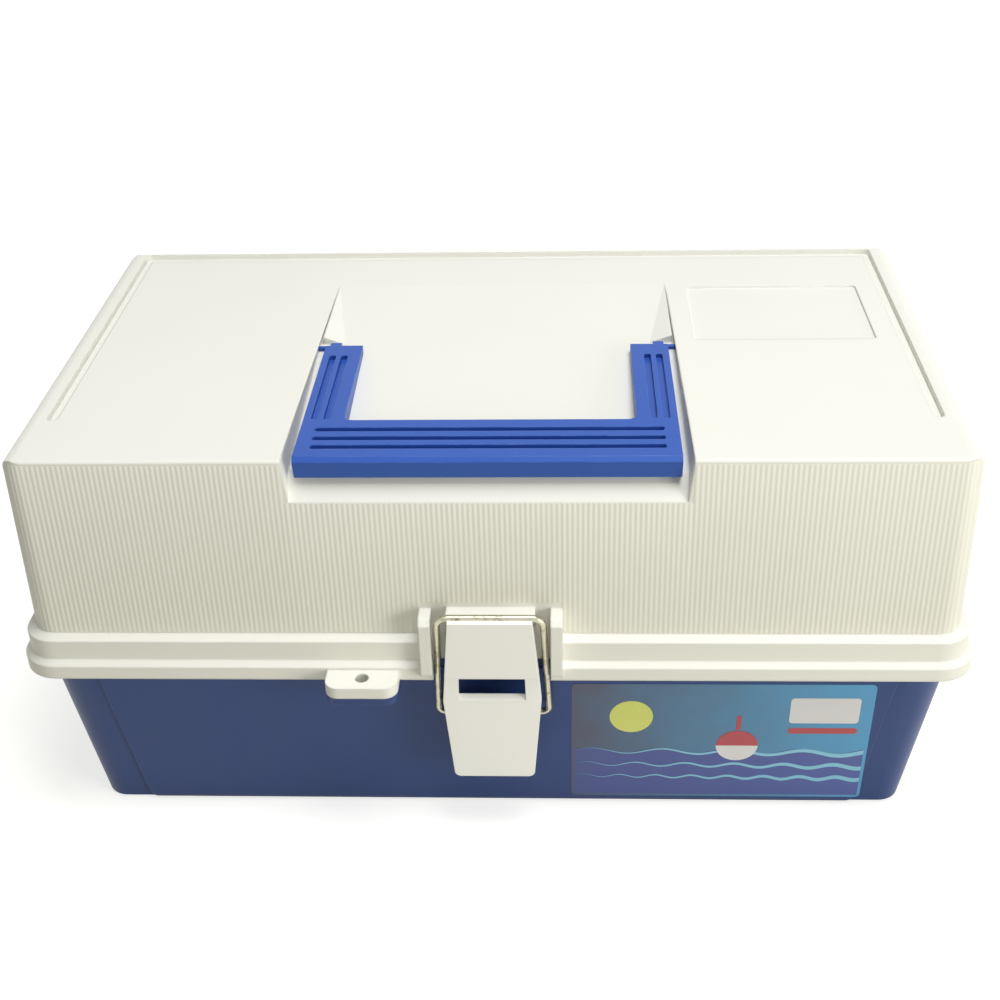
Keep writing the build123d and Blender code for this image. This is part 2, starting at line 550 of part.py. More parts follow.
def carry_handle():
    """U-shaped handle: a wedge that follows the recess floor, with grooves, tabs and pin bores."""
    half = RECESS_HALF_LENGTH - HANDLE_SIDE_GAP
    top_z = OVERALL_HEIGHT - HANDLE_TOP_DROP
    front_y = LID_FRONT_Y + HANDLE_FRONT_INSET
    grip_rear_y = front_y + GRIP_WIDTH
    arm_end_y = HANDLE_PIVOT_Y - HANDLE_ARM_END_GAP
    slope = RECESS_DEPTH / (RECESS_REAR_Y - RECESS_LIP_Y)
    front_under = OVERALL_HEIGHT - slope * (RECESS_REAR_Y - RECESS_LIP_Y) + HANDLE_FLOOR_GAP
    rear_under = OVERALL_HEIGHT - slope * (RECESS_REAR_Y - arm_end_y) + HANDLE_FLOOR_GAP
    points = [
        (arm_end_y, rear_under),
        (arm_end_y, top_z),
        (front_y + HANDLE_FRONT_BEVEL, top_z),
        (front_y, top_z - HANDLE_FRONT_BEVEL),
        (front_y + HANDLE_FRONT_BEVEL, front_under),
        (RECESS_LIP_Y, front_under),
    ]
    handle = side_prism(points, -half, half)
    inner = half - HANDLE_ARM_WIDTH
    gap = Pos(0, (grip_rear_y + RECESS_REAR_Y) / 2) * Rectangle(2 * inner, RECESS_REAR_Y - grip_rear_y)
    gap = fillet(gap.vertices().group_by(Axis.Y)[0], HANDLE_CORNER_RADIUS)
    handle -= extrude(gap, amount=OVERALL_HEIGHT + OVERRUN)
    tab_root = arm_end_y - HANDLE_TAB_RADIUS
    tab = handle_tab_span()
    pivot = (HANDLE_PIVOT_Y, HANDLE_PIVOT_Z)
    web = block(
        (tab[0], tab_root, HANDLE_PIVOT_Z - HANDLE_TAB_RADIUS / 5),
        (tab[1], HANDLE_PIVOT_Y, HANDLE_PIVOT_Z + HANDLE_TAB_RADIUS),
    )
    handle += both_sides(web + cross_bar(pivot, HANDLE_TAB_RADIUS, *tab))
    bore = cross_bar(pivot, HANDLE_PIN_RADIUS + PIN_GAP, tab[0] - OVERRUN, tab[1] + OVERRUN)
    handle -= both_sides(bore)
    outline = Sketch()
    for share in GRIP_GROOVE_SHARES:
        y = grip_rear_y - share * GRIP_WIDTH
        end = half - GRIP_GROOVE_END_INSET
        outline += link([(-end, y), (end, y)], HANDLE_GROOVE_WIDTH / 2)
    for share in ARM_GROOVE_SHARES:
        x = half - share * HANDLE_ARM_WIDTH
        ends = (grip_rear_y + ARM_GROOVE_GRIP_GAP, arm_end_y - ARM_GROOVE_END_INSET)
        for side in (-1, 1):
            outline += link([(side * x, ends[0]), (side * x, ends[1])], HANDLE_GROOVE_WIDTH / 2)
    groove_z = top_z - HANDLE_GROOVE_DEPTH
    return handle - extrude(Plane.XY.offset(groove_z) * outline, amount=HANDLE_GROOVE_DEPTH + OVERRUN)


def handle_pin():
    """Pin from the recess wall through the handle's tab, at the right-hand end."""
    place = (HANDLE_PIVOT_Y, HANDLE_PIVOT_Z)
    return cross_bar(place, HANDLE_PIN_RADIUS, handle_tab_span()[0], RECESS_HALF_LENGTH + HANDLE_PIN_SEAT)


def hinge_pin():
    """Steel pin through the knuckles of the right-hand hinge."""
    spans = knuckle_spans()
    return cross_bar((HINGE_Y, HINGE_Z), HINGE_PIN_RADIUS, spans[0][0], spans[-1][1])


def latch_bail():
    """Wire bent into a loop: crossbar, two legs and two ends turned into the base's boss."""
    rise = CROSSBAR_Z - BAIL_PIVOT_Z
    lean = CROSSBAR_Y - bail_pivot_y()
    leg = math.hypot(rise, lean)
    plane = Plane(origin=(0, bail_pivot_y(), BAIL_PIVOT_Z), x_dir=(1, 0, 0), z_dir=(0, -rise / leg, lean / leg))
    end_x = BAIL_BOSS_HALF_LENGTH - BAIL_END_LENGTH
    points = [
        (-end_x, 0),
        (-BAIL_HALF_WIDTH, 0),
        (-BAIL_HALF_WIDTH, leg),
        (BAIL_HALF_WIDTH, leg),
        (BAIL_HALF_WIDTH, 0),
        (end_x, 0),
    ]
    radii = [BAIL_FOOT_BEND, BAIL_TOP_BEND, BAIL_TOP_BEND, BAIL_FOOT_BEND]
    path = plane * FilletPolyline(*points, radius=radii)
    section = Plane(origin=path @ 0, z_dir=path % 0) * Circle(BAIL_WIRE_RADIUS)
    return sweep(section, path=path)


def latch_lever():
    """Lever: a plate with cheeks, a step, a slot, and a barrel on the bail's crossbar."""
    top_y = CROSSBAR_Y - LEVER_TOP_FACE
    step_y = top_y + (CROSSBAR_Z - LEVER_STEP_Z) * BASE_SLOPE
    tip_y = -HALF_WIDTH - LEVER_TIP_REACH
    top_z = CROSSBAR_Z + LEVER_BARREL_RADIUS
    plate = [
        (CROSSBAR_Y, top_z),
        (top_y + LEVER_STEP, top_z),
        (top_y, top_z - LEVER_STEP),
        (step_y, LEVER_STEP_Z),
        (step_y + LEVER_STEP, LEVER_STEP_Z),
        (tip_y, LEVER_TIP_Z),
        (tip_y + LEVER_THICKNESS, LEVER_TIP_Z),
        (step_y + LEVER_THICKNESS, LEVER_STEP_Z),
        (top_y + LEVER_THICKNESS, CROSSBAR_Z - LEVER_BARREL_RADIUS),
        (CROSSBAR_Y, CROSSBAR_Z - LEVER_BARREL_RADIUS),
    ]
    half = LEVER_MID_HALF_WIDTH
    lever = side_prism(plate, -half, half) + cross_bar((CROSSBAR_Y, CROSSBAR_Z), LEVER_BARREL_RADIUS, -half, half)
    cheek = [
        (top_y + LEVER_THICKNESS / 2, CROSSBAR_Z),
        (CROSSBAR_Y, CROSSBAR_Z),
        (step_y + LEVER_THICKNESS + LEVER_CHEEK_DEPTH, LEVER_STEP_Z),
        (tip_y + LEVER_THICKNESS / 2, LEVER_CHEEK_END_Z - LEVER_CHEEK_DEPTH * 2),
        (step_y + LEVER_THICKNESS / 2, LEVER_STEP_Z),
    ]
    lever += both_sides(side_prism(cheek, half - LEVER_CHEEK_WIDTH * 2, half))
    outline = [
        (-LEVER_TOP_HALF_WIDTH, top_z),
        (LEVER_TOP_HALF_WIDTH, top_z),
        (LEVER_MID_HALF_WIDTH, LEVER_MID_Z),
        (LEVER_TIP_HALF_WIDTH, LEVER_TIP_Z),
        (-LEVER_TIP_HALF_WIDTH, LEVER_TIP_Z),
        (-LEVER_MID_HALF_WIDTH, LEVER_MID_Z),
    ]
    face = make_face(Polyline(*outline, close=True))
    face = fillet(face.vertices().group_by(Axis.Y)[0], LEVER_CORNER_RADIUS)
    lever &= extrude(Plane.XZ * face, amount=OVERALL_WIDTH)
    slot_low = LEVER_STEP_Z - LEVER_SLOT_HEIGHT
    lever -= block(
        (-LEVER_SLOT_HALF_LENGTH, -OVERALL_WIDTH, slot_low), (LEVER_SLOT_HALF_LENGTH, 0, LEVER_STEP_Z)
    )
    return lever - cross_bar((CROSSBAR_Y, CROSSBAR_Z), BAIL_WIRE_RADIUS + PIN_GAP, -half, half)


def tray_arm(points, gaps):
    """Plate through the pivots, with a bore at each of them, at the right-hand end."""
    outline = link(points, ARM_HALF_WIDTH)
    for place, gap in zip(points, gaps):
        outline -= Pos(*place) * Circle(ARM_PIN_RADIUS + gap)
    return extrude(Plane.YZ.offset(ARM_INNER_X) * outline, amount=ARM_THICKNESS)


def pins(places, start, end):
    """Pivot pins at both ends of the box."""
    shape = Part()
    for place in places:
        shape += both_sides(cross_bar(place, ARM_PIN_RADIUS, start, end))
    return shape


def row_wall_y(rear_y, share):
    """Middle of a tray's lengthwise wall."""
    return TRAY_FRONT_Y + share * (rear_y - TRAY_FRONT_Y)


def tray(bottom, top, rear_y, share, bores):
    """Open tray with one lengthwise wall and pivot bores in its end walls."""
    length = 2 * TRAY_HALF_LENGTH
    centre = Pos(0, (TRAY_FRONT_Y + rear_y) / 2)
    outer = centre * RectangleRounded(length, rear_y - TRAY_FRONT_Y, TRAY_CORNER_RADIUS)
    inner = centre * RectangleRounded(
        length - 2 * TRAY_WALL, rear_y - TRAY_FRONT_Y - 2 * TRAY_WALL, TRAY_CORNER_RADIUS - TRAY_WALL
    )
    middle = row_wall_y(rear_y, share)
    row_wall = Pos(0, middle) * Rectangle(length, TRAY_WALL)
    shape = extrude(Plane.XY.offset(bottom) * outer, amount=top - bottom)
    shape -= extrude(Plane.XY.offset(bottom + TRAY_WALL) * (inner - row_wall), amount=top - bottom)
    for place, gap in bores:
        hole = cross_bar(place, ARM_PIN_RADIUS + gap, TRAY_HALF_LENGTH - TRAY_WALL - OVERRUN, HALF_LENGTH)
        shape -= both_sides(hole)
    return shape


def dividers(bottom, top, rear_y, share, shares, front):
    """Loose cross dividers of one row of a tray."""
    middle = row_wall_y(rear_y, share)
    if front:
        start, end = TRAY_FRONT_Y + TRAY_WALL, middle - TRAY_WALL / 2
    else:
        start, end = middle + TRAY_WALL / 2, rear_y - TRAY_WALL
    shapes = []
    for place in shares:
        x = (2 * place - 1) * TRAY_HALF_LENGTH
        low = (x - DIVIDER_THICKNESS / 2, start + SLIDE_GAP, bottom + TRAY_WALL)
        high = (x + DIVIDER_THICKNESS / 2, end - SLIDE_GAP, top - DIVIDER_DROP)
        shapes.append(block(low, high))
    return shapes


LOWER_TRAY = (LOWER_TRAY_BOTTOM, LOWER_TRAY_TOP, LOWER_TRAY_REAR_Y, LOWER_ROW_SHARE)
UPPER_TRAY = (UPPER_TRAY_BOTTOM, UPPER_TRAY_TOP, UPPER_TRAY_REAR_Y, UPPER_ROW_SHARE)

long_arm = tray_arm([LONG_ARM_PIVOT, LOWER_FRONT_PIVOT, UPPER_FRONT_PIVOT], [PIN_GAP] * 3)
short_arm = tray_arm([SHORT_ARM_PIVOT, LOWER_REAR_PIVOT], [PIN_GAP, OPEN_PIVOT_GAP])
lower_bores = [(LOWER_FRONT_PIVOT, PIN_GAP), (LOWER_REAR_PIVOT, PIN_GAP)]
upper_bores = [(UPPER_FRONT_PIVOT, PIN_GAP), (UPPER_REAR_PIVOT, OPEN_PIVOT_GAP)]
tray_wall_x = TRAY_HALF_LENGTH - TRAY_WALL
base_pin_end = ARM_OUTER_X + ARM_SIDE_GAP + ARM_PIN_SEAT

nodes = {
    "base_tub": base_tub(),
    "lid_shell": lid_shell(),
    "carry_handle": carry_handle(),
    "handle_pin_right": handle_pin(),
    "handle_pin_left": mirror(handle_pin(), about=Plane.YZ),
    "hinge_pin_right": hinge_pin(),
    "hinge_pin_left": mirror(hinge_pin(), about=Plane.YZ),
    "latch_bail": latch_bail(),
    "latch_lever": latch_lever(),
    "long_arm_right": long_arm,
    "long_arm_left": mirror(long_arm, about=Plane.YZ),
    "short_arm_right": short_arm,
    "short_arm_left": mirror(short_arm, about=Plane.YZ),
    "base_arm_pins": pins([LONG_ARM_PIVOT, SHORT_ARM_PIVOT], ARM_INNER_X, base_pin_end),
    "lower_tray_pins": pins([LOWER_FRONT_PIVOT, LOWER_REAR_PIVOT], tray_wall_x, ARM_OUTER_X),
    "upper_tray_pins": pins([UPPER_FRONT_PIVOT], tray_wall_x, ARM_OUTER_X),
    "lid_stud_pins": pins([UPPER_REAR_PIVOT], tray_wall_x, ARM_INNER_X + ARM_PIN_SEAT),
    "lower_tray": tray(*LOWER_TRAY, lower_bores),
    "upper_tray": tray(*UPPER_TRAY, upper_bores),
}
divider_rows = {
    "lower_front_divider": dividers(*LOWER_TRAY, LOWER_FRONT_SHARES, True),
    "lower_rear_divider": dividers(*LOWER_TRAY, LOWER_REAR_SHARES, False),
    "upper_front_divider": dividers(*UPPER_TRAY, UPPER_FRONT_SHARES, True),
    "upper_rear_divider": dividers(*UPPER_TRAY, UPPER_REAR_SHARES, False),
}
for row, shapes in divider_rows.items():
    for number, shape in enumerate(shapes, start=1):
        nodes[f"{row}_{number}"] = shape

os.makedirs("parts", exist_ok=True)
for name, shape in nodes.items():
    export_step(shape, f"parts/{name}.step")
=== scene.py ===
# %% [markdown]
# A moulded tackle box, dressed in Blender.
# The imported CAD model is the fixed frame: every solid is already at its real place and size, in metres.
# This lesson adds what the solids leave out: small corrections of five forms, the fine ribs of the lid's
# walls, the slopes behind the handle, the label on the base, the finishes, the studio and the camera.

# %% Load the frame
import json
import math

import bmesh
import bpy
from mathutils import Matrix, Vector


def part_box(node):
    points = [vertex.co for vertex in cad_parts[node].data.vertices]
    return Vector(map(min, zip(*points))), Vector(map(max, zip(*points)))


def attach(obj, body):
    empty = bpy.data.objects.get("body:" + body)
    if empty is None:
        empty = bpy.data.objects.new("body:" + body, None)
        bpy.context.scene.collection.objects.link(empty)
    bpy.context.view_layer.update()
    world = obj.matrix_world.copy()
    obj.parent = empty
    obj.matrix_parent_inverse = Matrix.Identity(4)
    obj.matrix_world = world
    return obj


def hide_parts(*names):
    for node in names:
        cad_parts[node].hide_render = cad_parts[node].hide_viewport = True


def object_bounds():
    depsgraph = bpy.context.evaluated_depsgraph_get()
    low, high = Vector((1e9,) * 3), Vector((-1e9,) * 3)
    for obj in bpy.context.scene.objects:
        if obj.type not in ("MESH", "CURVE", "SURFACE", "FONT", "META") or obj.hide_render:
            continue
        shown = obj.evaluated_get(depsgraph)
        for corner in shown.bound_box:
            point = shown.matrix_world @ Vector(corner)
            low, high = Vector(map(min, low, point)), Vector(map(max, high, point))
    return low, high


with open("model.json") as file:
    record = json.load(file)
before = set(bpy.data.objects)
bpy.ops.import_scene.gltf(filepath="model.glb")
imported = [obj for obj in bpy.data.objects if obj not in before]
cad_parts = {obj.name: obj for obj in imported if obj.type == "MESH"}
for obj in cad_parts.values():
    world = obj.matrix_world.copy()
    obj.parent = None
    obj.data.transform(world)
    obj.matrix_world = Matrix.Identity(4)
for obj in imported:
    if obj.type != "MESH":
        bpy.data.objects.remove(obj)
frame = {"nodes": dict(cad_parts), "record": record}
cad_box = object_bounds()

MM = 0.001
nodes = frame["nodes"]
print("box in mm:", [[round(v / MM, 1) for v in corner] for corner in cad_box])

# %% [markdown]
# The camera stands in front of the box, a little to its right, and looks down on the lid.
# Its place, lens and tilt could be set by eye; here they come from matching the box's corners,
# so the edges run towards the same vanishing points as in the picture. The small roll is part of that match.

# %% Camera
CAMERA_PLACE = Vector((26.35, -523.82, 412.09)) * MM
CAMERA_YAW = math.radians(-2.918)
CAMERA_PITCH = math.radians(31.636)
CAMERA_ROLL = math.radians(-1.621)
CAMERA_LENS = 53.27
CAMERA_SENSOR = 36.0
CLIP_START, CLIP_END = 10 * MM, 20.0


def camera_turn(yaw, pitch, roll):
    """Rotation of a camera that looks along yaw and pitch and is then rolled about its line of sight."""
    forward = Vector((math.sin(yaw) * math.cos(pitch), math.cos(yaw) * math.cos(pitch), -math.sin(pitch)))
    level = Vector((math.cos(yaw), -math.sin(yaw), 0.0))
    rise = level.cross(forward)
    right = math.cos(roll) * level + math.sin(roll) * rise
    up = math.cos(roll) * rise - math.sin(roll) * level
    return Matrix((right, up, -forward)).transposed()


camera_data = bpy.data.cameras.new("studio_camera")
camera_data.lens = CAMERA_LENS
camera_data.sensor_width = CAMERA_SENSOR
camera_data.clip_start = CLIP_START
camera_data.clip_end = CLIP_END
camera = bpy.data.objects.new("studio_camera", camera_data)
turn = camera_turn(CAMERA_YAW, CAMERA_PITCH, CAMERA_ROLL)
camera.matrix_world = Matrix.Translation(CAMERA_PLACE) @ turn.to_4x4()
bpy.context.scene.collection.objects.link(camera)
bpy.context.scene.camera = camera
print("camera at", [round(v / MM) for v in CAMERA_PLACE], "mm")

# %% [markdown]
# Materials are written as small networks, so a few helpers keep them short.
# One makes a node with its settings, one makes a material with its surface shader ready,
# one makes a group, which is a reusable network with named sockets, and one places a group in a material.
# The last turns a colour as a picture shows it into the linear light that shaders use.

# %% Helpers for materials
def add_node(tree, kind, inputs=None, **settings):
    """A node of a kind, with values for its input sockets and its own settings."""
    made = tree.nodes.new(kind)
    for name, value in settings.items():
        setattr(made, name, value)
    for name, value in (inputs or {}).items():
        made.inputs[name].default_value = value
    return made


def new_material(name, **surface):
    """A material with one Principled shader, and the values that are the same all over it."""
    material = bpy.data.materials.new(name)
    material.use_nodes = True
    tree = material.node_tree
    shader = tree.nodes["Principled BSDF"]
    for socket, value in surface.items():
        shader.inputs[socket.replace("_", " ").title().replace("Ior", "IOR")].default_value = value
    return material, tree, shader


def new_group(name, inputs, outputs):
    """A node group with named inputs (name, kind, value) and outputs (name, kind)."""
    group = bpy.data.node_groups.new(name, "ShaderNodeTree")
    for title, kind, value in inputs:
        socket = group.interface.new_socket(name=title, in_out="INPUT", socket_type=kind)
        socket.default_value = value
    for title, kind in outputs:
        group.interface.new_socket(name=title, in_out="OUTPUT", socket_type=kind)
    start = group.nodes.new("NodeGroupInput")
    end = group.nodes.new("NodeGroupOutput")
    return group, start, end


def place_group(tree, group, **values):
    """A group placed in a material, with its own values."""
    placed = tree.nodes.new("ShaderNodeGroup")
    placed.node_tree = group
    for name, value in values.items():
        placed.inputs[name.replace("_", " ").capitalize()].default_value = value
    return placed


def srgb(red, green, blue):
    """A colour as a picture shows it (0 to 255), made linear with the standard sRGB curve."""
    def linear(value):
        share = value / 255
        return share / 12.92 if share <= 0.04045 else ((share + 0.055) / 1.055) ** 2.4
    return (linear(red), linear(green), linear(blue), 1.0)


print("white paper as linear light:", [round(v, 3) for v in srgb(240, 240, 236)])

# %% [markdown]
# Injection-moulded plastic is never one flat colour. The pigment mixes unevenly over centimetres,
# the mould leaves a fine spark-eroded grain, and the gloss changes with how well each area filled.
# An image could hold that, but a group of noises has no seams and no limit of detail, and every plastic
# piece of the box can use it with its own values.

# %% Group: moulded plastic
COLOUR, FLOAT = "NodeSocketColor", "NodeSocketFloat"
NOISE_MIDDLE = 0.5


def moulded_group():
    """Pigment that drifts over centimetres, patchy gloss and the height of a fine grain."""
    group, start, end = new_group(
        "Moulded plastic",
        [
            ("Colour", COLOUR, (0.8, 0.8, 0.8, 1.0)),
            ("Variation", FLOAT, 0.05),
            ("Grain scale", FLOAT, 1400.0),
            ("Gloss", FLOAT, 0.4),
            ("Gloss change", FLOAT, 0.1),
        ],
        [("Colour", COLOUR), ("Roughness", FLOAT), ("Height", FLOAT)],
    )
    link = group.links.new
    place = add_node(group, "ShaderNodeTexCoord")
    cloud = add_node(group, "ShaderNodeTexNoise", {"Scale": 14.0, "Detail": 3.0, "Roughness": 0.55})
    grain = add_node(group, "ShaderNodeTexNoise", {"Detail": 2.0, "Roughness": 0.6})
    flow = add_node(group, "ShaderNodeTexNoise", {"Scale": 46.0, "Detail": 4.0, "Distortion": 0.8})
    for noise in (cloud, grain, flow):
        link(place.outputs["Object"], noise.inputs["Vector"])
    link(start.outputs["Grain scale"], grain.inputs["Scale"])

    centred = add_node(group, "ShaderNodeMath", {1: NOISE_MIDDLE}, operation="SUBTRACT")
    link(cloud.outputs["Fac"], centred.inputs[0])
    swing = add_node(group, "ShaderNodeMath", operation="MULTIPLY")
    link(centred.outputs[0], swing.inputs[0])
    link(start.outputs["Variation"], swing.inputs[1])
    level = add_node(group, "ShaderNodeMath", {1: 1.0}, operation="ADD")
    link(swing.outputs[0], level.inputs[0])
    tint = add_node(group, "ShaderNodeHueSaturation")
    link(start.outputs["Colour"], tint.inputs["Color"])
    link(level.outputs[0], tint.inputs["Value"])
    link(tint.outputs["Color"], end.inputs["Colour"])

    uneven = add_node(group, "ShaderNodeMath", {1: NOISE_MIDDLE}, operation="SUBTRACT")
    link(flow.outputs["Fac"], uneven.inputs[0])
    patchy = add_node(group, "ShaderNodeMath", operation="MULTIPLY_ADD")
    link(uneven.outputs[0], patchy.inputs[0])
    link(start.outputs["Gloss change"], patchy.inputs[1])
    link(start.outputs["Gloss"], patchy.inputs[2])
    link(patchy.outputs[0], end.inputs["Roughness"])
    link(grain.outputs["Fac"], end.inputs["Height"])
    return group


moulded_plastic = moulded_group()
print("group:", moulded_plastic.name, "with", len(moulded_plastic.nodes), "nodes")

# %% [markdown]
# Corners of a moulding are where hands and shelves rub, so they are a little paler.
# The mask could be painted by hand; here it compares the true normal with one rounded over the edge,
# which is cheap, follows every edge and needs no painting. The rounded normal also softens each sharp edge,
# as the small radius of a real mould does.

# %% Group: softened edges
NORMAL = "NodeSocketVector"
BEVEL_SAMPLES = 6


def edge_group():
    """A normal rounded over the edges, and a broken mask of those edges."""
    group, start, end = new_group(
        "Softened edges",
        [("Radius", FLOAT, 0.4 * MM), ("Break-up", FLOAT, 90.0)],
        [("Normal", NORMAL), ("Mask", FLOAT)],
    )
    link = group.links.new
    rounded = add_node(group, "ShaderNodeBevel", samples=BEVEL_SAMPLES)
    link(start.outputs["Radius"], rounded.inputs["Radius"])
    shape = add_node(group, "ShaderNodeNewGeometry")
    compare = add_node(group, "ShaderNodeVectorMath", operation="DOT_PRODUCT")
    link(rounded.outputs["Normal"], compare.inputs[0])
    link(shape.outputs["Normal"], compare.inputs[1])
    near_edge = add_node(group, "ShaderNodeMapRange", {"From Min": 0.999, "From Max": 0.9})
    link(compare.outputs["Value"], near_edge.inputs["Value"])
    place = add_node(group, "ShaderNodeTexCoord")
    rub = add_node(group, "ShaderNodeTexNoise", {"Detail": 4.0, "Roughness": 0.65})
    link(place.outputs["Object"], rub.inputs["Vector"])
    link(start.outputs["Break-up"], rub.inputs["Scale"])
    patches = add_node(group, "ShaderNodeMapRange", {"From Min": 0.42, "From Max": 0.66})
    link(rub.outputs["Fac"], patches.inputs["Value"])
    both = add_node(group, "ShaderNodeMath", operation="MULTIPLY")
    link(near_edge.outputs["Result"], both.inputs[0])
    link(patches.outputs["Result"], both.inputs[1])
    link(rounded.outputs["Normal"], end.inputs["Normal"])
    link(both.outputs[0], end.inputs["Mask"])
    return group


softened_edges = edge_group()
print("group:", softened_edges.name, "with", len(softened_edges.nodes), "nodes")

# %% [markdown]
# All the plastics of the box share one recipe: pigment, grain and gloss from the moulding group,
# paler rubbed edges from the edge group. Each could have a network of its own, but one function
# keeps them alike, and only their colours and values differ. The ivory comes in three: the lid's,
# one for its ribs, whose edges are much finer, and a cleaner, whiter one for the lever.

# %% Plastics
def plastic(
    name, colour, worn, variation, grain_scale, grain_depth, gloss, gloss_change, edge_radius, **surface
):
    """A moulded plastic with its pigment, the colour of its rubbed edges, its grain and its gloss."""
    material, tree, shader = new_material(name, **surface)
    link = tree.links.new
    body = place_group(
        tree, moulded_plastic, colour=colour, variation=variation, grain_scale=grain_scale,
        gloss=gloss, gloss_change=gloss_change,
    )
    edges = place_group(tree, softened_edges, radius=edge_radius)
    rubbed = add_node(tree, "ShaderNodeMix", data_type="RGBA")
    rubbed.inputs["B"].default_value = worn
    link(edges.outputs["Mask"], rubbed.inputs["Factor"])
    link(body.outputs["Colour"], rubbed.inputs["A"])
    link(rubbed.outputs["Result"], shader.inputs["Base Color"])
    link(body.outputs["Roughness"], shader.inputs["Roughness"])
    relief = add_node(tree, "ShaderNodeBump", {"Strength": 1.0, "Distance": grain_depth})
    link(body.outputs["Height"], relief.inputs["Height"])
    link(edges.outputs["Normal"], relief.inputs["Normal"])
    link(relief.outputs["Normal"], shader.inputs["Normal"])
    return material


plastics = {
    "ivory_plastic": dict(
        colour=srgb(235, 234, 224), worn=srgb(243, 242, 235), variation=0.05, grain_scale=1500.0,
        grain_depth=0.00003, gloss=0.46, gloss_change=0.16, edge_radius=0.0011, specular_ior_level=0.24,
    ),
    "ribbed_ivory": dict(
        colour=srgb(235, 234, 222), worn=srgb(243, 242, 234), variation=0.05, grain_scale=1500.0,
        grain_depth=0.00003, gloss=0.46, gloss_change=0.16, edge_radius=0.0002, specular_ior_level=0.24,
    ),
    "lever_ivory": dict(
        colour=srgb(252, 251, 245), worn=srgb(253, 252, 248), variation=0.05, grain_scale=1500.0,
        grain_depth=0.00003, gloss=0.42, gloss_change=0.16, edge_radius=0.0005,
    ),
    "navy_plastic": dict(
        colour=srgb(44, 67, 120), worn=srgb(74, 97, 152), variation=0.14, grain_scale=1300.0,
        grain_depth=0.00002, gloss=0.40, gloss_change=0.20, edge_radius=0.0006, specular_ior_level=0.32,
    ),
    "cobalt_plastic": dict(
        colour=srgb(48, 88, 174), worn=srgb(88, 126, 206), variation=0.10, grain_scale=1500.0,
        grain_depth=0.00002, gloss=0.36, gloss_change=0.14, edge_radius=0.0005, specular_ior_level=0.22,
    ),
    "arm_plastic": dict(
        colour=srgb(58, 60, 66), worn=srgb(96, 98, 104), variation=0.08, grain_scale=1300.0,
        grain_depth=0.00002, gloss=0.46, gloss_change=0.16, edge_radius=0.0003,
    ),
    "tray_plastic": dict(
        colour=srgb(226, 226, 220), worn=srgb(238, 238, 234), variation=0.04, grain_scale=1300.0,
        grain_depth=0.00002, gloss=0.40, gloss_change=0.14, edge_radius=0.0004,
    ),
    "divider_plastic": dict(
        colour=srgb(206, 210, 210), worn=srgb(228, 232, 232), variation=0.06, grain_scale=1200.0,
        grain_depth=0.00002, gloss=0.38, gloss_change=0.14, edge_radius=0.0003,
    ),
}
finishes = {name: plastic(name, **values) for name, values in plastics.items()}
print("plastics:", ", ".join(finishes))

# %% [markdown]
# The bail and the pins are drawn steel wire, nickel plated. Drawing leaves hairline streaks along the wire
# and handling leaves dull spots. One value of gloss would look like a mirror, so it is broken by a noise
# stretched along the wire, and the colour by a spotted one.

# %% Steel
STREAK_DULLING = 0.22
STREAKS_ALONG_X = (0.02, 1.0, 1.0)
STREAKS_ALONG_Z = (1.0, 1.0, 0.02)


def steel(name, colour, dull, gloss, streak_axis):
    """Drawn, plated wire: streaks along one axis, and dull spots."""
    material, tree, shader = new_material(name, metallic=1.0)
    link = tree.links.new
    place = add_node(tree, "ShaderNodeTexCoord")
    stretch = add_node(tree, "ShaderNodeMapping", {"Scale": streak_axis})
    streaks = add_node(tree, "ShaderNodeTexNoise", {"Scale": 2600.0, "Detail": 2.0})
    spots = add_node(tree, "ShaderNodeTexNoise", {"Scale": 320.0, "Detail": 5.0, "Roughness": 0.7})
    link(place.outputs["Object"], stretch.inputs["Vector"])
    link(stretch.outputs["Vector"], streaks.inputs["Vector"])
    link(place.outputs["Object"], spots.inputs["Vector"])
    tarnish = add_node(tree, "ShaderNodeMapRange", {"From Min": 0.52, "From Max": 0.74})
    link(spots.outputs["Fac"], tarnish.inputs["Value"])
    tone = add_node(tree, "ShaderNodeMix", data_type="RGBA")
    tone.inputs["A"].default_value = colour
    tone.inputs["B"].default_value = dull
    link(tarnish.outputs["Result"], tone.inputs["Factor"])
    link(tone.outputs["Result"], shader.inputs["Base Color"])
    rough = add_node(tree, "ShaderNodeMapRange", {"To Min": gloss, "To Max": gloss + STREAK_DULLING})
    link(streaks.outputs["Fac"], rough.inputs["Value"])
    link(rough.outputs["Result"], shader.inputs["Roughness"])
    relief = add_node(tree, "ShaderNodeBump", {"Strength": 0.5, "Distance": 0.00002})
    link(streaks.outputs["Fac"], relief.inputs["Height"])
    link(relief.outputs["Normal"], shader.inputs["Normal"])
    return material


finishes["wire_steel"] = steel(
    "wire_steel", colour=srgb(192, 188, 166), dull=srgb(104, 99, 82), gloss=0.20, streak_axis=STREAKS_ALONG_Z
)
finishes["pin_steel"] = steel(
    "pin_steel", colour=srgb(196, 198, 200), dull=srgb(120, 120, 118), gloss=0.22, streak_axis=STREAKS_ALONG_X
)
print("steels:", finishes["wire_steel"].name, finishes["pin_steel"].name)

# %% [markdown]
# Each solid of the frame names a slot in the record, and takes the finish of that name. Finishes could be
# given one by one, but by slot the record and the picture stay in step.
# On the object the ends of the handle's two pins look as blue as the handle, so the pins take its finish.

# %% Dress the solids
slot_of = {part["node"]: part["material_slot"] for part in frame["record"]["subparts"]}
for name, solid in nodes.items():
    finish = "cobalt_plastic" if name.startswith("handle_pin") else slot_of[name]
    solid.data.materials.clear()
    solid.data.materials.append(finishes[finish])
print("dressed:", len(slot_of), "solids")

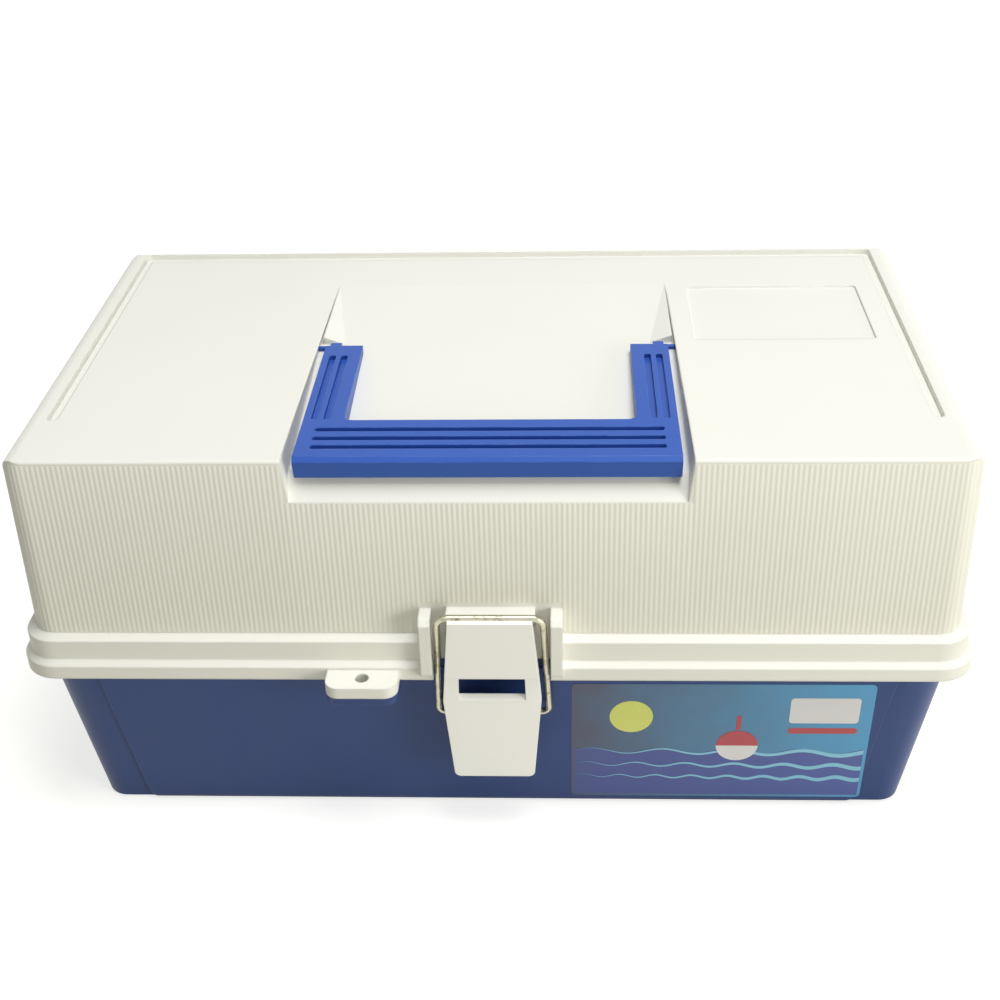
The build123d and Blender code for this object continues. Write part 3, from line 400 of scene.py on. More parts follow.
# %% [markdown]
# Five pieces need small corrections that their solids leave out. They could be modelled again;
# here each gets a copy of its solid's mesh in which only the points of a few places move, so everything else
# stays exact. The copy stands for the solid. A rule for each piece says where a point goes, in millimetres.

# %% Reshaped copies
def ramp(value, low, high):
    """0 up to a low value, 1 from a high value on, and a straight line between them."""
    return min(1.0, max(0.0, (value - low) / (high - low)))


def between(value, span):
    """Whether a value lies inside a span."""
    return span[0] < value < span[1]


def reshaped(node, name, body, move, swell=0.0, finish=None):
    """A copy of a solid with its points moved by a rule in millimetres, which stands for that solid.
    It can swell along its normals, and take a finish of its own."""
    data = nodes[node].data.copy()
    outward = [point.normal.copy() for point in data.vertices]
    for point, normal in zip(data.vertices, outward):
        point.co = Vector(move(*(point.co / MM + normal * swell))) * MM
    if finish:
        data.materials[0] = finishes[finish]
    data.update()
    piece = bpy.data.objects.new(name, data)
    bpy.context.scene.collection.objects.link(piece)
    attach(piece, body)
    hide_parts(node)
    return piece


print("a ramp from 2 to 4, at 1, 3 and 5:", [ramp(value, 2, 4) for value in (1, 3, 5)])

# %% [markdown]
# The tub's walls lean, so that it comes out of its mould. Its ends lean out further than its long sides,
# up to the lip under the lid's rim, and the raised panels of its long walls reach down to the foot.
# The lean grows with height. A ramp along the length moves the end walls and their corners,
# and leaves the pivots inside them where they are.

# %% Tub
FOOT_HALF_LENGTH, FOOT_HALF_WIDTH = 158.6, 83.6
SIDE_SLOPE = 6.4 / 73.5
END_SLOPE = 0.171
END_WALL = (154, 156)
END_WALL_HALF = 75.5
END_CORNER = (122, 138)
LIP_HALF_LENGTH = 169.7
LIP_LOW = 83.4
LIP_PROUD = 0.3
PANEL_FOOT_HIGH = 9
PANEL_EDGE_PROUD = 0.5
PANEL_DROP = 3.7


def tub_point(x, y, z):
    """The tub's ends lean out to the lid's rim, and the panels of its long walls reach down to the foot."""
    wall_x = FOOT_HALF_LENGTH + SIDE_SLOPE * z
    wall_y = FOOT_HALF_WIDTH + SIDE_SLOPE * z
    if z > LIP_LOW and (abs(x) > wall_x + LIP_PROUD or abs(y) > wall_y + LIP_PROUD):
        return x, y, z
    near_end = ramp(abs(x), *(END_WALL if abs(y) < END_WALL_HALF else END_CORNER))
    lean = min(FOOT_HALF_LENGTH + END_SLOPE * z, LIP_HALF_LENGTH) - wall_x
    x += math.copysign(lean * near_end, x)
    if z < PANEL_FOOT_HIGH and abs(y) > wall_y + PANEL_EDGE_PROUD:
        y -= math.copysign(SIDE_SLOPE * PANEL_DROP, y)
        z -= PANEL_DROP
    return x, y, z


tub = reshaped("base_tub", "tub_moulding", "base", tub_point)
print("reshaped:", tub.name, "with", len(tub.data.vertices), "points")

# %% [markdown]
# The lid's posts beside the latch and the ledge above it sit lower than those of the solid. The groove
# round its top is deeper, and wider along the rear, the side walls of the handle's recess lean outwards,
# and the edge of the flange slopes down. Each correction asks first whether a point lies in its place.

# %% Lid
CATCH_FRONT = -93
POST_SPAN = (21, 26.5)
POST_TOP_LOW = 104.5
POST_DROP = 5.8
LEDGE_HALF = 16.5
LEDGE_SPAN = (95, 107)
LEDGE_DROP = 3.9
LID_GROOVE_SIDE = (155, 160)
LID_GROOVE_FRONT = -64
LID_GROOVE_REAR = (84, 88.5)
LID_GROOVE_MIDDLE = 86
LID_GROOVE_FLOOR = (160.5, 161)
LID_GROOVE_LOWEST = 159.5
LID_GROOVE_SINK = 0.8
LID_GROOVE_GROWTH = 1.9
RECESS_WALL = (68.3, 68.7)
RECESS_RUN = (-95, 54)
RECESS_RISE = (146, 162)
RECESS_LEAN = 1.8
WALL_CORNER_X, WALL_CORNER_Y = 160.1, 85.1
WALL_ROUND = 9.0
FLANGE_HEIGHT = 90.3
FLANGE_NEAR = 0.1
FLANGE_STEP = 2
FLANGE_DROP = 1.6


def outside_wall(x, y):
    """How far a point in plan lies outside the ribbed wall of the lid."""
    over_x = abs(x) - WALL_CORNER_X
    over_y = abs(y) - WALL_CORNER_Y
    if over_x > 0 and over_y > 0:
        return math.hypot(over_x, over_y) - WALL_ROUND
    return max(over_x, over_y) - WALL_ROUND


def lid_point(x, y, z):
    """Lower latch posts and ledge, a deeper groove that is wider at the rear, leaning walls of the recess,
    and a sloped edge of the flange."""
    in_rear_groove = abs(x) < LID_GROOVE_SIDE[1] and between(y, LID_GROOVE_REAR)
    in_side_groove = between(abs(x), LID_GROOVE_SIDE) and LID_GROOVE_FRONT < y < LID_GROOVE_REAR[1]
    if between(z, LID_GROOVE_FLOOR) and (in_rear_groove or in_side_groove):
        z -= LID_GROOVE_SINK
    if y < CATCH_FRONT and between(abs(x), POST_SPAN) and z > POST_TOP_LOW:
        z -= POST_DROP
    elif y < CATCH_FRONT and abs(x) < LEDGE_HALF and between(z, LEDGE_SPAN):
        z -= LEDGE_DROP
    elif z > LID_GROOVE_LOWEST and in_rear_groove:
        y += LID_GROOVE_GROWTH if y > LID_GROOVE_MIDDLE else -LID_GROOVE_GROWTH
    elif between(abs(x), RECESS_WALL) and between(y, RECESS_RUN):
        x += math.copysign(RECESS_LEAN * ramp(z, *RECESS_RISE), x)
    elif abs(z - FLANGE_HEIGHT) < FLANGE_NEAR and outside_wall(x, y) > FLANGE_STEP:
        z -= FLANGE_DROP
    return x, y, z


lid = reshaped("lid_shell", "lid_moulding", "lid", lid_point)
print("reshaped:", lid.name, "with", len(lid.data.vertices), "points")

# %% [markdown]
# The handle's top has three grooves along its grip and two along each arm. Those of the solid are narrow.
# The rule moves the two edges of a groove apart, sinks its floor, and draws the ends of the grip's grooves
# out towards the arms.

# %% Handle
HANDLE_TOP = 161.8
HANDLE_TOP_NEAR = 0.5
GRIP_GROOVES = (-70.675, -77.0, -83.05)
GRIP_GROOVE_HALF = 58.6
GRIP_GROOVE_END = 56
ARM_GROOVES = (62.585, 58.09)
ARM_GROOVE_RUN = (-64, -11)
GROOVE_NEAR = 1.0
GROOVE_SPREAD = 1.45
GROOVE_SINK = 0.8
GROOVE_REACH = 3.0
GROOVE_FLOOR_LOW = 160.5


def handle_point(x, y, z):
    """A handle with wider, deeper and longer grooves."""
    if z > GROOVE_FLOOR_LOW:
        sink = GROOVE_SINK if z < HANDLE_TOP - HANDLE_TOP_NEAR else 0.0
        for centre in GRIP_GROOVES:
            if abs(y - centre) < GROOVE_NEAR and abs(x) < GRIP_GROOVE_HALF:
                reach = GROOVE_REACH if abs(x) > GRIP_GROOVE_END else 0.0
                return x + math.copysign(reach, x), centre + (y - centre) * GROOVE_SPREAD, z - sink
        for centre in ARM_GROOVES:
            if abs(abs(x) - centre) < GROOVE_NEAR and between(y, ARM_GROOVE_RUN):
                spread = centre + (abs(x) - centre) * GROOVE_SPREAD
                return math.copysign(spread, x), y, z - sink
    return x, y, z


handle = reshaped("carry_handle", "handle_moulding", "handle", handle_point)
print("reshaped:", handle.name, "with", len(handle.data.vertices), "points")

# %% [markdown]
# The lever is a short tongue that narrows to its top, with a slot that a fingertip pulls on.
# The rule scales its width with height, cuts its top level, and lowers the slot's bottom edge,
# more at the front than at the back, so the edge becomes a sloping sill.

# %% Lever
LEVER_TOP = 103.4
LEVER_RISE = (66, 105)
LEVER_TAPER = 0.08
SLOT_HALF = 12.5
SLOT_BOTTOM = (69, 72)
SLOT_DROP = 2.3
SLOT_SHIFT = 0.1
SILL_FRONT = -102.5
SILL_DROP = 1.4


def lever_point(x, y, z):
    """A lever that narrows to the top, with a taller slot."""
    if abs(x) < SLOT_HALF and between(z, SLOT_BOTTOM):
        z -= SLOT_DROP + (SILL_DROP if y < SILL_FRONT else 0.0)
        y += SLOT_SHIFT
    return x * (1 - LEVER_TAPER * ramp(z, *LEVER_RISE)), y, min(z, LEVER_TOP)


lever = reshaped("latch_lever", "lever_moulding", "lever", lever_point, finish="lever_ivory")
print("reshaped:", lever.name, "in", lever.data.materials[0].name)

# %% [markdown]
# The bail is one bent wire. Its legs spread a little at the pivots and draw in towards the crossbar,
# so the rule scales their distance with height. The wire also swells along its normals and so gets thicker.

# %% Bail
BAIL_RISE = (53, 103)
BAIL_SPREAD = 1.03
BAIL_TAPER = 0.09
WIRE_SWELL = 0.25


def bail_point(x, y, z):
    """A bail whose legs draw in towards the crossbar."""
    return x * (BAIL_SPREAD - BAIL_TAPER * ramp(z, *BAIL_RISE)), y, z


bail = reshaped("latch_bail", "bail_wire", "bail", bail_point, swell=WIRE_SWELL)
print("reshaped:", bail.name, "with", len(bail.data.vertices), "points")

# %% [markdown]
# The lid's walls carry fine upright ribs all round, which hide scratches and sink marks.
# A bump map would vanish at the silhouette, so the ribs are real: a thin skin that follows the wall's plan.
# First the wall itself is described: a point on any of its four sides, straight part or corner,
# and the height where the ribs have to stop under the lid's rounded top.

# %% Ribs: the lid's wall
WALL_FOOT_INSET = 5.9 * MM
WALL_TOP_INSET = 6.7 * MM
WALL_CORNER = WALL_ROUND * MM
FLANGE_TOP = FLANGE_HEIGHT * MM
LID_TOP = 162.0 * MM
TOP_SIDE_ROUND = 6.0 * MM
TOP_ROUND_GAP = 0.4 * MM
FRONT_RIB_TOP = LID_TOP - 1.6 * MM
REAR_RIB_TOP = LID_TOP - 2.1 * MM
HALF_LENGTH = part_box("lid_shell")[1].x
HALF_WIDTH = 100.0 * MM
FRONT, RIGHT, REAR, LEFT = range(4)

side_run = 2 * (HALF_WIDTH - WALL_FOOT_INSET - WALL_CORNER)
front_run = 2 * (HALF_LENGTH - WALL_FOOT_INSET - WALL_CORNER)


def half_run(side):
    """Half the length of a wall's straight part."""
    return (front_run if side in (FRONT, REAR) else side_run) / 2


def wall_point(side, along, height, proud):
    """Point on one wall: along runs from the wall's middle, past its straight part into half of each corner;
    proud is how far the point stands out of the wall."""
    rise = (height - FLANGE_TOP) / (LID_TOP - FLANGE_TOP)
    inset = WALL_FOOT_INSET + (WALL_TOP_INSET - WALL_FOOT_INSET) * rise
    depth = (HALF_WIDTH if side in (FRONT, REAR) else HALF_LENGTH) - WALL_FOOT_INSET - WALL_CORNER
    radius = WALL_CORNER - (inset - WALL_FOOT_INSET) + proud
    straight = half_run(side)
    past = max(abs(along) - straight, 0.0)
    turn = math.copysign(past / WALL_CORNER, along)
    flat = max(-straight, min(straight, along))
    x = flat + radius * math.sin(turn)
    y = -depth - radius * math.cos(turn)
    quarter = Matrix.Rotation(math.radians(90) * side, 3, "Z")
    return quarter @ Vector((x, y, height))


def rib_top(side, along):
    """Height where the ribs end: under the rounded top edges of the lid."""
    turn = max(abs(along) - half_run(side), 0.0) / WALL_CORNER
    sideways = turn if side in (FRONT, REAR) else math.pi / 2 - turn
    from_side = WALL_CORNER * (1 - math.sin(sideways))
    limit = FRONT_RIB_TOP if side == FRONT else REAR_RIB_TOP
    if from_side < TOP_SIDE_ROUND:
        drop = TOP_SIDE_ROUND - math.sqrt(TOP_SIDE_ROUND**2 - (TOP_SIDE_ROUND - from_side) ** 2)
        limit = min(limit, LID_TOP - drop - TOP_ROUND_GAP)
    return limit


print("straight walls in mm:", [round(run / MM, 1) for run in (front_run, side_run)])

# %% [markdown]
# The skin is made in strips, with a rounded crest for each rib. A strip could be an open sheet; it is closed
# at the back, inside the wall, so it is a solid of its own. Its crests are smooth and its ends are flat,
# and the edges between them stay sharp.

# %% Ribs: a strip
RECESS_HALF = 68.5 * MM
RIBS_IN_HALF_RECESS = 38
RIB_PITCH = RECESS_HALF / RIBS_IN_HALF_RECESS
RIB_HEIGHT = 0.21 * MM
RIB_LIFT = 0.02 * MM
RIB_BACK = 0.25 * MM
RIB_END = 0.5 * MM
RIB_SAMPLES = 6


def rib_panel(mesh, side, start, end, low, high):
    """A closed strip of ribs on one wall, between two places along it and two heights."""
    steps = max(1, round((end - start) / RIB_PITCH)) * RIB_SAMPLES
    columns = []
    for step in range(steps + 1):
        along = start + (end - start) * step / steps
        crest = 0.5 - 0.5 * math.cos(2 * math.pi * (step % RIB_SAMPLES) / RIB_SAMPLES)
        proud = RIB_LIFT + RIB_HEIGHT * crest
        top = min(high, rib_top(side, along))
        rows = [(low, 0.0), (low + RIB_END, proud), (top - RIB_END, proud), (top, 0.0)]
        face = [mesh.verts.new(wall_point(side, along, z, out)) for z, out in rows]
        back = [mesh.verts.new(wall_point(side, along, z, -RIB_BACK)) for z in (low, top)]
        columns.append((face, back))
    for (face, back), (next_face, next_back) in zip(columns, columns[1:]):
        for row in range(len(face) - 1):
            crest_face = mesh.faces.new((face[row], next_face[row], next_face[row + 1], face[row + 1]))
            crest_face.smooth = True
        mesh.faces.new((back[0], back[1], next_back[1], next_back[0]))
        mesh.faces.new((face[0], back[0], next_back[0], next_face[0]))
        mesh.faces.new((face[-1], next_face[-1], next_back[1], back[1]))
    for (face, back), flip in ((columns[0], False), (columns[-1], True)):
        loop = face + [back[1], back[0]]
        mesh.faces.new(loop[::-1] if not flip else loop)


def sharpen(mesh):
    """Edges where a smooth face meets a flat one are kept sharp, so that no shading bleeds round them."""
    for edge in mesh.edges:
        kinds = {face.smooth for face in edge.link_faces}
        edge.smooth = kinds == {True}


def build_piece(name, mesh, materials, body):
    """An object from a bmesh, with its finishes, riding on a body of the frame."""
    bmesh.ops.recalc_face_normals(mesh, faces=mesh.faces)
    data = bpy.data.meshes.new(name)
    mesh.to_mesh(data)
    mesh.free()
    for material in materials:
        data.materials.append(material)
    piece = bpy.data.objects.new(name, data)
    bpy.context.scene.collection.objects.link(piece)
    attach(piece, body)
    return piece


print("one rib is", round(RIB_PITCH / MM, 2), "mm wide")

# %% [markdown]
# The strips go round the lid. On the front they leave the handle's recess, the posts and the ledge free,
# and every strip ends at a whole rib, so that no rib is cut lengthwise.

# %% Ribs of the lid
RIBS_IN_HALF_LATCH = 14
RIB_FOOT = FLANGE_TOP + 0.3 * MM
RECESS_FRONT_LOW = 145.3 * MM
LATCH_TOP = 103.7 * MM


def whole_ribs(length):
    """A length cut down to a whole number of ribs."""
    return math.floor(length / RIB_PITCH) * RIB_PITCH


ribs = bmesh.new()
corner_run = WALL_CORNER * math.pi / 2
front_end = whole_ribs(front_run / 2 + corner_run / 2)
side_end = whole_ribs(side_run / 2 + corner_run / 2)
latch_half = RIBS_IN_HALF_LATCH * RIB_PITCH
recess_end = RECESS_HALF + RIB_PITCH
for sign in (-1, 1):
    rib_panel(ribs, FRONT, *sorted((sign * recess_end, sign * front_end)), RIB_FOOT, FRONT_RIB_TOP)
    rib_panel(ribs, FRONT, *sorted((sign * latch_half, sign * recess_end)), RIB_FOOT, RECESS_FRONT_LOW)
rib_panel(ribs, FRONT, -latch_half, latch_half, LATCH_TOP, RECESS_FRONT_LOW)
rib_panel(ribs, REAR, -front_end, front_end, RIB_FOOT, REAR_RIB_TOP)
for side in (RIGHT, LEFT):
    rib_panel(ribs, side, -side_end, side_end, RIB_FOOT, REAR_RIB_TOP)
sharpen(ribs)
lid_ribs = build_piece("lid_ribs", ribs, [finishes["ribbed_ivory"]], "lid")
print("rib faces:", len(lid_ribs.data.polygons))

# %% [markdown]
# Behind each arm of the handle the recess ends in a shallow slope up to the lid's top, which lets a finger
# reach under the arm. The lid's mesh could be cut for it; a small wedge with a sloping face, closed all round
# and sunk into the recess, gives the same form and leaves the mesh alone.

# %% Recess flanks
FLANK_WIDTH = 9.2 * MM
FLANK_DEPTH = 3.5 * MM
FLANK_FRONT = 4.2 * MM
FLANK_REAR = 55.0 * MM

flank_low = LID_TOP - FLANK_DEPTH
section = [(RECESS_HALF - FLANK_WIDTH, flank_low), (RECESS_HALF, flank_low), (RECESS_HALF, LID_TOP)]
flank_mesh = bmesh.new()
for sign in (-1, 1):
    front = [flank_mesh.verts.new((sign * x, FLANK_FRONT, z)) for x, z in section]
    rear = [flank_mesh.verts.new((sign * x, FLANK_REAR, z)) for x, z in section]
    flank_mesh.faces.new(front)
    flank_mesh.faces.new(rear[::-1])
    for i in range(len(section)):
        j = (i + 1) % len(section)
        flank_mesh.faces.new((front[i], rear[i], rear[j], front[j]))
recess_flanks = build_piece("recess_flanks", flank_mesh, [finishes["ivory_plastic"]], "lid")
print("flank faces:", len(recess_flanks.data.polygons))

# %% [markdown]
# The base carries a printed label on the right of its front panel. A picture could be projected on it,
# but cut shapes keep sharp edges at any distance, so the label is built like a screen print: a thin sheet,
# and on it flat layers of one ink each. Each ink shades from one colour to another, with a fine screen
# of dots and uneven patches, under a clear film.

# %% Label: inks
INK_GLOSS = 0.34
INK_DULLING = 0.18
INK_PATCHES = 0.3
ACROSS, UPWARD = (1.0, 0.0, 0.0), (0.0, 0.0, 1.0)


def ink(name, colour, edge_colour, direction):
    """A printed ink that shades from one colour to another along a direction, under a clear film."""
    material, tree, shader = new_material(name, coat_weight=0.35, coat_roughness=0.12)
    link = tree.links.new
    place = add_node(tree, "ShaderNodeTexCoord")
    turn = add_node(tree, "ShaderNodeVectorMath", {1: direction}, operation="DOT_PRODUCT")
    link(place.outputs["Generated"], turn.inputs[0])
    patch = add_node(tree, "ShaderNodeTexNoise", {"Scale": 60.0, "Detail": 3.0})
    link(place.outputs["Object"], patch.inputs["Vector"])
    uneven = add_node(tree, "ShaderNodeMath", {1: NOISE_MIDDLE}, operation="SUBTRACT")
    link(patch.outputs["Fac"], uneven.inputs[0])
    shade = add_node(tree, "ShaderNodeMath", {1: INK_PATCHES}, operation="MULTIPLY_ADD")
    link(uneven.outputs[0], shade.inputs[0])
    link(turn.outputs["Value"], shade.inputs[2])
    blend = add_node(tree, "ShaderNodeMix", data_type="RGBA")
    blend.inputs["A"].default_value = colour
    blend.inputs["B"].default_value = edge_colour
    link(shade.outputs[0], blend.inputs["Factor"])
    dots = add_node(tree, "ShaderNodeTexVoronoi", {"Scale": 2200.0})
    link(place.outputs["Object"], dots.inputs["Vector"])
    screen = add_node(
        tree, "ShaderNodeMapRange", {"From Min": 0.0, "From Max": 0.6, "To Min": 0.96, "To Max": 1.04}
    )
    link(dots.outputs["Distance"], screen.inputs["Value"])
    printed = add_node(tree, "ShaderNodeHueSaturation")
    link(screen.outputs["Result"], printed.inputs["Value"])
    link(blend.outputs["Result"], printed.inputs["Color"])
    link(printed.outputs["Color"], shader.inputs["Base Color"])
    rough = add_node(tree, "ShaderNodeMapRange", {"To Min": INK_GLOSS, "To Max": INK_GLOSS + INK_DULLING})
    link(patch.outputs["Fac"], rough.inputs["Value"])
    link(rough.outputs["Result"], shader.inputs["Roughness"])
    return material


inks = [
    ink("ink_sky", srgb(52, 58, 84), srgb(70, 150, 196), ACROSS),
    ink("ink_sea", srgb(46, 62, 130), srgb(60, 78, 150), ACROSS),
    ink("ink_foam", srgb(120, 186, 212), srgb(150, 206, 226), UPWARD),
    ink("ink_moon", srgb(222, 220, 120), srgb(206, 214, 96), UPWARD),
    ink("ink_red", srgb(186, 62, 66), srgb(160, 44, 52), UPWARD),
    ink("ink_white", srgb(228, 226, 224), srgb(214, 212, 214), UPWARD),
]
SKY, SEA, FOAM, MOON, RED, WHITE = range(len(inks))
print("inks:", [material.name for material in inks])

# %% [markdown]
# The label lies on a leaning panel, so its shapes are drawn flat, across and up the panel, and then laid
# on it. Every shape is an outline, and a layer is that outline, a few hundredths of a millimetre thick.

# %% Label: outlines and layers
BASE_FOOT_Y = -FOOT_HALF_WIDTH * MM
BASE_LEAN = math.atan(SIDE_SLOPE)
PANEL_PROUD = 1.0 * MM
CORNER_STEPS = 5
WAVE_STEPS = 72


def panel_point(across, up, out):
    """Point on the base's front panel: across the box, up the leaning wall, and out of it."""
    out += PANEL_PROUD
    y = BASE_FOOT_Y - up * math.sin(BASE_LEAN) - out * math.cos(BASE_LEAN)
    z = up * math.cos(BASE_LEAN) - out * math.sin(BASE_LEAN)
    return Vector((across, y, z))


def arc(centre, radius, start, end, steps):
    """Points on an arc, with its start and end in degrees."""
    turns = [math.radians(start + (end - start) * i / steps) for i in range(steps + 1)]
    return [(centre[0] + radius * math.cos(t), centre[1] + radius * math.sin(t)) for t in turns]


def rounded_box(left, low, right, high, radius):
    """Outline of a rectangle with round corners."""
    corners = [(right - radius, high - radius, 0), (left + radius, high - radius, 90),
               (left + radius, low + radius, 180), (right - radius, low + radius, 270)]
    return [point for x, z, turn in corners for point in arc((x, z), radius, turn, turn + 90, CORNER_STEPS)]


def wave_band(left, right, level, swell, length, thickness):
    """Outline of a band that rises and falls along the label and thins out towards its left end."""
    places = [left + (right - left) * i / WAVE_STEPS for i in range(WAVE_STEPS + 1)]
    crest = [(x, level + swell * math.sin(2 * math.pi * (x - left) / length)) for x in places]
    under = [(x, z - thickness * (x - left) / (right - left)) for x, z in crest]
    return crest[::-1] + under[1:]


def add_layer(mesh, outline, bottom, top, index):
    """A flat layer with an outline, from one height above the panel to another."""
    lower = [mesh.verts.new(panel_point(x, z, bottom)) for x, z in outline]
    upper = [mesh.verts.new(panel_point(x, z, top)) for x, z in outline]
    faces = [mesh.faces.new(upper), mesh.faces.new(lower[::-1])]
    for i in range(len(outline)):
        j = (i + 1) % len(outline)
        faces.append(mesh.faces.new((lower[i], lower[j], upper[j], upper[i])))
    for face in faces:
        face.material_index = index


print("panel leans by", round(math.degrees(BASE_LEAN), 1), "degrees")

# %% [markdown]
# The design is a plain one for a fishing box: a sky that darkens, a moon, waves, a float, a blank field
# and a bar. Layers that overlap lie on different heights, so that no two inks share a surface.

# %% Label: design
LABEL_LEFT, LABEL_RIGHT = 29.0 * MM, 142.0 * MM
LABEL_LOW, LABEL_HIGH = 4.0 * MM, 64.5 * MM
LABEL_CORNER = 2.0 * MM
LABEL_MARGIN = 1.2 * MM
SHEET = 0.10 * MM
LAYER = 0.03 * MM
SEA_SHARE, SEA_SWELL, SEA_LENGTH = 0.42, 1.3 * MM, 27 * MM
WAVES = ((0.42, 1.3 * MM, 27.0 * MM), (0.30, 1.0 * MM, 19.0 * MM), (0.19, 0.8 * MM, 14.0 * MM))
WAVE_THICKNESS = 2.2 * MM
MOON_ACROSS, MOON_UP, MOON_RADIUS = 0.20, 0.72, 8.2 * MM
FLOAT_ACROSS, FLOAT_RISE, FLOAT_RADIUS = 0.56, 3.0 * MM, 8.0 * MM
STEM_HALF, STEM_LOW, STEM_HIGH, STEM_CORNER = 0.9 * MM, 8.4 * MM, 16.0 * MM, 0.6 * MM
FIELD_LEFT, FIELD_RIGHT = LABEL_RIGHT - 31 * MM, LABEL_RIGHT - 5 * MM
FIELD_LOW, FIELD_HIGH, FIELD_CORNER = LABEL_HIGH - 20 * MM, LABEL_HIGH - 7 * MM, 1.5 * MM
BAR_LOW, BAR_HIGH, BAR_CORNER = LABEL_HIGH - 25.5 * MM, LABEL_HIGH - 22.5 * MM, 1.2 * MM
CIRCLE_STEPS = 48

label = bmesh.new()
width, height = LABEL_RIGHT - LABEL_LEFT, LABEL_HIGH - LABEL_LOW
left, right, low = LABEL_LEFT + LABEL_MARGIN, LABEL_RIGHT - LABEL_MARGIN, LABEL_LOW + LABEL_MARGIN
first, second, third = (SHEET + count * LAYER for count in (1, 2, 3))
add_layer(label, rounded_box(LABEL_LEFT, LABEL_LOW, LABEL_RIGHT, LABEL_HIGH, LABEL_CORNER), 0.0, SHEET, SKY)

sea_line = LABEL_LOW + SEA_SHARE * height
sea_places = [right - (width - 2 * LABEL_MARGIN) * i / WAVE_STEPS for i in range(WAVE_STEPS + 1)]
sea_turns = [2 * math.pi * (x - LABEL_LEFT) / SEA_LENGTH for x in sea_places]
sea_top = [(x, sea_line + SEA_SWELL * math.sin(turn)) for x, turn in zip(sea_places, sea_turns)]
add_layer(label, sea_top + [(left, low), (right, low)], SHEET, first, SEA)
for share, swell, length in WAVES:
    band = wave_band(left, right, LABEL_LOW + share * height, swell, length, WAVE_THICKNESS)
    add_layer(label, band, first, second, FOAM)

moon = (LABEL_LEFT + MOON_ACROSS * width, LABEL_LOW + MOON_UP * height)
add_layer(label, arc(moon, MOON_RADIUS, 0, 360, CIRCLE_STEPS)[:-1], SHEET, first, MOON)
float_x, float_z = LABEL_LEFT + FLOAT_ACROSS * width, sea_line + FLOAT_RISE
for start, colour in ((0, RED), (180, WHITE)):
    half_float = arc((float_x, float_z), FLOAT_RADIUS, start, start + 180, CIRCLE_STEPS // 2)
    add_layer(label, half_float, second, third, colour)
stem = rounded_box(
    float_x - STEM_HALF, float_z + STEM_LOW, float_x + STEM_HALF, float_z + STEM_HIGH, STEM_CORNER
)
add_layer(label, stem, second, third, RED)

field = rounded_box(FIELD_LEFT, FIELD_LOW, FIELD_RIGHT, FIELD_HIGH, FIELD_CORNER)
add_layer(label, field, SHEET, first, WHITE)
bar = rounded_box(FIELD_LEFT, BAR_LOW, FIELD_RIGHT, BAR_HIGH, BAR_CORNER)
add_layer(label, bar, SHEET, first, RED)
base_label = build_piece("base_label", label, inks, "base")
print("label faces:", len(base_label.data.polygons))

# %% [markdown]
# The box stands on a wide white floor, as on a sheet of studio paper. A white floor under lamps strong enough
# to burn it out would flood the box with light from below. So the floor is a plain pale surface that keeps
# the box's shadow, and for rays that look at it, from the camera, in a reflection or through glass,
# a glow lifts it to paper white.

# %% Studio: floor
FLOOR_SIDE = 12.0
FLOOR_PAPER = (0.60, 0.594, 0.535, 1.0)
GLOW_NEAR, GLOW_FAR = 0.70, 1.0
GLOW_START, GLOW_END = 0.25, 1.4
PURE_WHITE = (1.0, 1.0, 1.0, 1.0)


def seeing_rays(tree):
    """A socket that is 1 for rays from the camera, from a reflection or through glass, and 0 for light."""
    ray = add_node(tree, "ShaderNodeLightPath")
    direct = add_node(tree, "ShaderNodeMath", operation="MAXIMUM")
    tree.links.new(ray.outputs["Is Camera Ray"], direct.inputs[0])
    tree.links.new(ray.outputs["Is Glossy Ray"], direct.inputs[1])
    any_sight = add_node(tree, "ShaderNodeMath", operation="MAXIMUM")
    tree.links.new(direct.outputs[0], any_sight.inputs[0])
    tree.links.new(ray.outputs["Is Transmission Ray"], any_sight.inputs[1])
    return any_sight.outputs[0]


def floor_material():
    """Pale paper that glows for seeing rays, more so further from the box."""
    material = bpy.data.materials.new("studio_floor")
    material.use_nodes = True
    tree = material.node_tree
    tree.nodes.clear()
    link = tree.links.new
    out = add_node(tree, "ShaderNodeOutputMaterial")
    paper = add_node(tree, "ShaderNodeBsdfDiffuse", {"Color": FLOOR_PAPER})
    glow = add_node(tree, "ShaderNodeEmission", {"Color": PURE_WHITE})
    place = add_node(tree, "ShaderNodeTexCoord")
    away = add_node(tree, "ShaderNodeVectorMath", operation="LENGTH")
    link(place.outputs["Object"], away.inputs[0])
    rise = add_node(
        tree, "ShaderNodeMapRange",
        {"From Min": GLOW_START, "From Max": GLOW_END, "To Min": GLOW_NEAR, "To Max": GLOW_FAR},
    )
    link(away.outputs["Value"], rise.inputs["Value"])
    strength = add_node(tree, "ShaderNodeMath", operation="MULTIPLY")
    link(seeing_rays(tree), strength.inputs[0])
    link(rise.outputs["Result"], strength.inputs[1])
    link(strength.outputs[0], glow.inputs["Strength"])
    both = add_node(tree, "ShaderNodeAddShader")
    link(paper.outputs["BSDF"], both.inputs[0])
    link(glow.outputs["Emission"], both.inputs[1])
    link(both.outputs["Shader"], out.inputs["Surface"])
    return material


floor_mesh = bmesh.new()
bmesh.ops.create_grid(floor_mesh, x_segments=1, y_segments=1, size=FLOOR_SIDE / 2)
floor_data = bpy.data.meshes.new("floor")
floor_mesh.to_mesh(floor_data)
floor_mesh.free()
floor_data.materials.append(floor_material())
floor = bpy.data.objects.new("floor", floor_data)
floor.location.z = cad_box[0][2]
bpy.context.scene.collection.objects.link(floor)
print("floor:", FLOOR_SIDE, "m square")

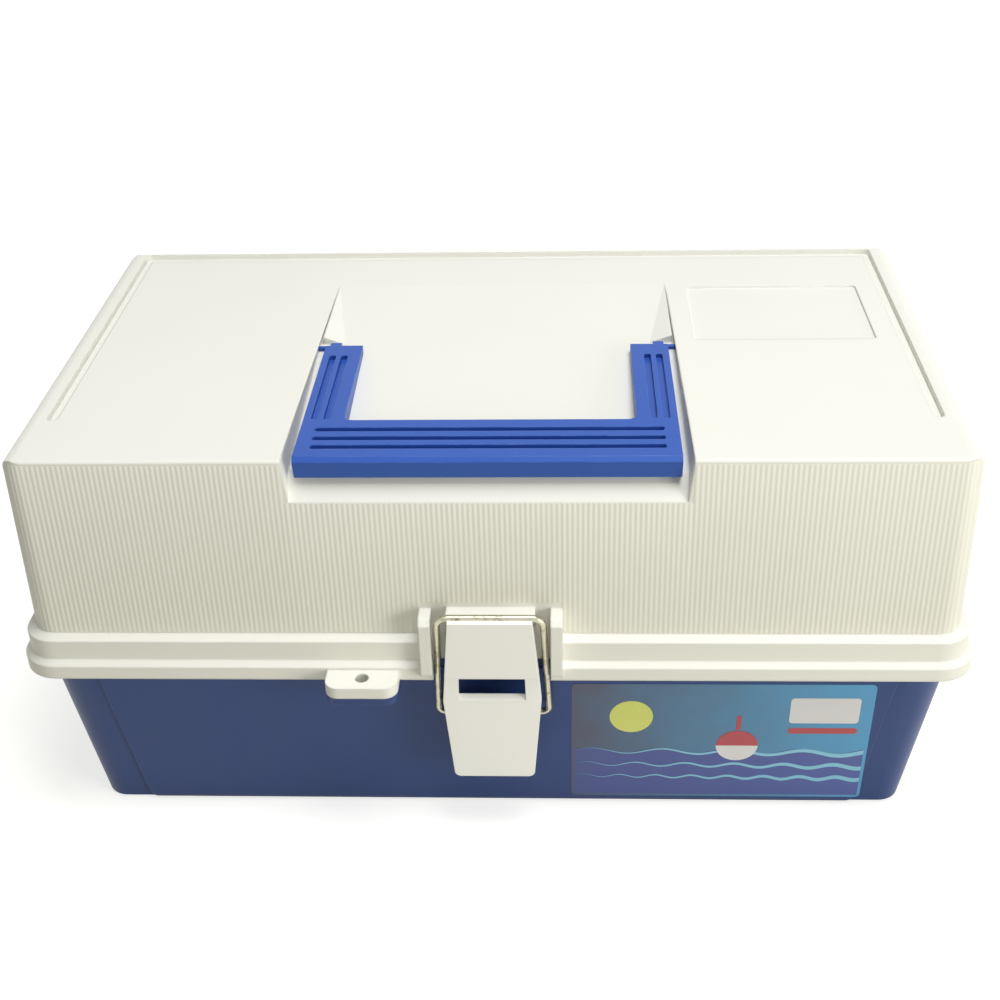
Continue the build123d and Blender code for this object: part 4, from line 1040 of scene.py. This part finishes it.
# %% [markdown]
# Beyond the floor lies the room. Its walls give a weak, warm light from all round, which a plain world colour
# stands for. For rays that look at it the room is a white backdrop instead, so the floor has no horizon.

# %% Studio: room
ROOM_COLOUR = (1.0, 0.985, 0.89, 1.0)
ROOM_STRENGTH = 0.27

world = bpy.data.worlds.new("studio")
bpy.context.scene.world = world
world.use_nodes = True
sky_tree = world.node_tree
room = sky_tree.nodes["Background"]
room.inputs["Color"].default_value = ROOM_COLOUR
room.inputs["Strength"].default_value = ROOM_STRENGTH
backdrop = add_node(sky_tree, "ShaderNodeBackground", {"Color": PURE_WHITE, "Strength": 1.0})
choice = add_node(sky_tree, "ShaderNodeMixShader")
sky_tree.links.new(seeing_rays(sky_tree), choice.inputs["Fac"])
sky_tree.links.new(room.outputs["Background"], choice.inputs[1])
sky_tree.links.new(backdrop.outputs["Background"], choice.inputs[2])
sky_tree.links.new(choice.outputs["Shader"], sky_tree.nodes["World Output"].inputs["Surface"])
print("room light:", ROOM_STRENGTH)

# %% [markdown]
# Two soft lamps light the box: a cool key above it, a little to the front and right, and a weaker warm fill
# from the right. Sun or point lamps would draw hard shadows, so both are wide squares that face the box.

# %% Studio: lamps
BOX_MIDDLE = Vector((0.0, 0.0, 0.08))


def soft_light(name, place, side, power, colour):
    """A square lamp that faces the middle of the box."""
    lamp = bpy.data.lights.new(name, "AREA")
    lamp.shape = "RECTANGLE"
    lamp.size = side
    lamp.size_y = side
    lamp.energy = power
    lamp.color = colour
    light = bpy.data.objects.new(name, lamp)
    light.location = place
    light.rotation_euler = (BOX_MIDDLE - Vector(place)).to_track_quat("-Z", "Y").to_euler()
    bpy.context.scene.collection.objects.link(light)
    return light


key = soft_light("key_above", place=(0.22, -0.22, 1.32), side=0.60, power=13.1, colour=(0.94, 0.955, 1.0))
fill = soft_light("fill_right", place=(0.95, -0.75, 0.30), side=0.5, power=6.4, colour=(1.0, 0.985, 0.92))
bpy.context.scene.view_settings.view_transform = "Standard"
print("lamps:", key.name, fill.name)
